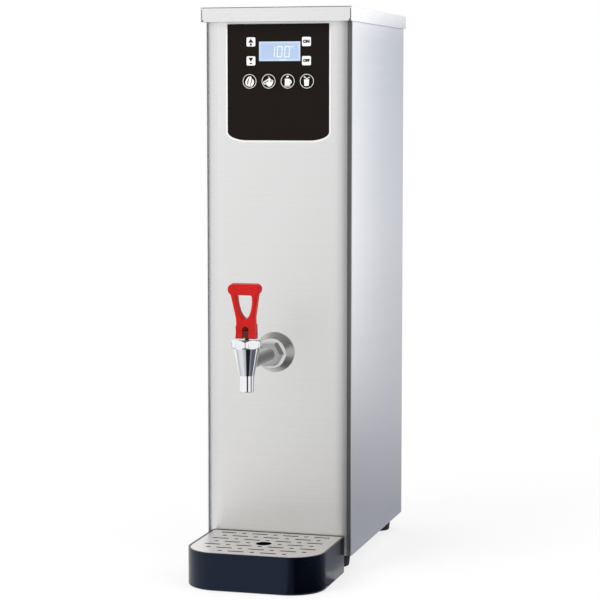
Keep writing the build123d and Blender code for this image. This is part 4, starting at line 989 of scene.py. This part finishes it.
def reflector(name, corners, stops):
    """A card that only shiny surfaces see. Its stops are heights in metres with the colour at each."""
    mesh = bpy.data.meshes.new(name)
    mesh.from_pydata(corners, [], [tuple(range(len(corners)))])
    material = bare_material(name)
    tree = material.node_tree
    low, high = stops[0][0], stops[-1][0]
    place = add_node(tree, "TexCoord").outputs["Object"]
    z = add_node(tree, "SeparateXYZ", {"Vector": place}).outputs["Z"]
    share = add_node(tree, "MapRange", {"Value": z, "From Min": low, "From Max": high})
    fade = add_node(tree, "ValToRGB", {"Fac": share.outputs[0]})
    for height, _ in stops[1:-1]:
        fade.color_ramp.elements.new((height - low) / (high - low))
    for element, (_, rgb) in zip(fade.color_ramp.elements, stops):
        element.color = (*rgb, 1)
    glow = add_node(tree, "Emission", {"Color": fade.outputs["Color"]})
    add_node(tree, "OutputMaterial", {"Surface": glow.outputs[0]})
    card = stage_mesh(name, mesh, material)
    for ray in NO_RAYS:
        setattr(card, "visible_" + ray, False)


def even(rgb):
    """The stops of a card of one colour."""
    return [(0.0, rgb), (1.0, rgb)]


def behind(left, right, top=CARD_TOP):
    """The corners of a card that stands behind the case, between two places on X."""
    return [(left, CARD_Y, CARD_FOOT), (right, CARD_Y, CARD_FOOT), (right, CARD_Y, top), (left, CARD_Y, top)]


def level(low_x, low_y, high_x, high_y, z):
    """The corners of a level card."""
    return [(low_x, low_y, z), (high_x, low_y, z), (high_x, high_y, z), (low_x, high_y, z)]


def around(centre, angle, reach, height):
    """A place around a centre, at an angle in degrees from straight ahead, positive to the right."""
    turn = math.radians(angle)
    return centre[0] + reach * math.sin(turn), centre[1] - reach * math.cos(turn), height


def standing(centre, reach, low, high, foot, head):
    """The corners of a card that stands around a centre. foot and head are its angles there."""
    return [around(centre, foot[0], reach, low), around(centre, foot[1], reach, low),
            around(centre, head[1], reach, high), around(centre, head[0], reach, high)]


def floor_sector(centre, start, end, near, far, height):
    """A flat piece of a ring on the floor around a centre."""
    angles = [start + (end - start) * i / 8 for i in range(9)]
    return ([around(centre, angle, near, height) for angle in angles]
            + [around(centre, angle, far, height) for angle in reversed(angles)])


def panel_lamp(name, place, size, power, aim=(0, 0, 0.35)):
    """A large square lamp that shiny surfaces don't mirror."""
    lamp = bpy.data.lights.new(name, "AREA")
    lamp.shape, lamp.size, lamp.energy = "SQUARE", size, power
    holder = bpy.data.objects.new(name, lamp)
    holder.location = place
    holder.rotation_euler = (Vector(aim) - Vector(place)).to_track_quat("-Z", "Y").to_euler()
    holder.visible_glossy = False
    bpy.context.scene.collection.objects.link(holder)


class BOILER_OT_studio(bpy.types.Operator):
    """Set up the floor, the white surroundings, the lamps, the reflectors and the camera"""
    bl_idname = "boiler.studio"
    bl_label = "Studio"

    def execute(self, context):
        settings = context.scene.boiler_studio
        context.scene.view_settings.view_transform = "Standard"
        context.scene.world = white_world(settings.ambient)
        studio_floor()
        panel_lamp("key_lamp", (-1.5, -2.2, 2.3), 1.8, settings.key)
        panel_lamp("fill_lamp", (2.4, -0.9, 1.3), 1.4, settings.fill)
        self.add_side_cards()
        self.add_tap_cards()
        self.add_camera(context, settings)
        return {"FINISHED"}

    def add_side_cards(self):
        """Cards for the right side of the case."""
        reflector("side_card", behind(0.10, 0.235), SIDE_STOPS)
        reflector("edge_card", behind(0.235, 0.45), EDGE_STOPS)
        reflector("back_flag", behind(0.47, 0.62, 0.6), even((0.02, 0.022, 0.026)))
        reflector("side_floor", level(0.102, -0.09, 0.5, 0.419, 0.0006), even((0.35, 0.36, 0.42)))
        reflector("ceiling_flag", level(-1.0, -1.3, 2.0, 1.0, 1.7), even((0.13, 0.132, 0.14)))

    def add_tap_cards(self):
        """Cards for the rolled edges of the front, the polished tap and the tray's rounded corner."""
        low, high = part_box("tap_stem")
        tap = (low[0] + high[0]) / 2, (low[1] + high[1]) / 2
        right = standing(tap, 1.5, 0.0, 1.1, (13, 38), (-1, 39))
        reflector("right_flag", right, even((0.02, 0.024, 0.03)))
        upper = standing(tap, 1.4, 0.62, 1.6, (48, 120), (48, 120))
        reflector("high_flag", upper, even((0.08, 0.084, 0.09)))
        lower = standing(tap, 1.4, 0.0, 0.6, (78, 108), (78, 108))
        reflector("grey_flag", lower, even((0.3, 0.31, 0.33)))
        for name, start, end, rgb in FLOOR_CARDS:
            sector = floor_sector(tap, start, end, FLOOR_NEAR, FLOOR_FAR, FLOOR_CARD_Z)
            reflector(name, sector, even(rgb))
        low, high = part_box("drip_tray")
        corner = high[0] - CORNER_R, low[1] + CORNER_R
        for name, start, end, rgb in CORNER_CARDS:
            sector = floor_sector(corner, start, end, CORNER_NEAR, CORNER_FAR, CORNER_CARD_Z)
            reflector(name, sector, even(rgb))

    def add_camera(self, context, settings):
        lens = bpy.data.cameras.new("camera")
        lens.lens, lens.sensor_width = settings.lens, 36.0
        camera = bpy.data.objects.new("camera", lens)
        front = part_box("front_panel")[0][1]
        camera.location = (CAMERA_X, front - CAMERA_AHEAD, CAMERA_Z)
        camera.rotation_euler = (math.radians(CAMERA_TILT), 0, math.radians(CAMERA_TURN))
        context.scene.collection.objects.link(camera)
        context.scene.camera = camera


STEPS = (
    BOILER_OT_studio, BOILER_OT_case, BOILER_OT_feet, BOILER_OT_case_screws, BOILER_OT_control_panel,
    BOILER_OT_display, BOILER_OT_square_keys, BOILER_OT_round_keys, BOILER_OT_tap, BOILER_OT_lever,
    BOILER_OT_drip_tray, BOILER_OT_ports, BOILER_OT_tank, BOILER_OT_power,
)
GROUPS = {
    "boiler_steel": SteelSettings, "boiler_panel": PanelSettings, "boiler_plastic": PlasticSettings,
    "boiler_studio": StudioSettings,
}


class BOILER_PT_looks(bpy.types.Panel):
    """Settings and steps of the boiler's looks"""
    bl_label = "Water Boiler"
    bl_idname = "BOILER_PT_looks"
    bl_space_type = "VIEW_3D"
    bl_region_type = "UI"
    bl_category = "Water Boiler"

    def draw(self, context):
        for name, group in GROUPS.items():
            box = self.layout.box()
            for key in group.__annotations__:
                box.prop(getattr(context.scene, name), key)
        for step in STEPS:
            self.layout.operator(step.bl_idname)


def register():
    for group in GROUPS.values():
        bpy.utils.register_class(group)
    for name, group in GROUPS.items():
        setattr(bpy.types.Scene, name, PointerProperty(type=group))
    for step in STEPS:
        bpy.utils.register_class(step)
    bpy.utils.register_class(BOILER_PT_looks)


def unregister():
    bpy.utils.unregister_class(BOILER_PT_looks)
    for step in reversed(STEPS):
        bpy.utils.unregister_class(step)
    for name, group in GROUPS.items():
        delattr(bpy.types.Scene, name)
        bpy.utils.unregister_class(group)


def main():
    register()
    for step in STEPS:
        family, name = step.bl_idname.split(".")
        getattr(getattr(bpy.ops, family), name)()


if __name__ == "__main__":
    main()
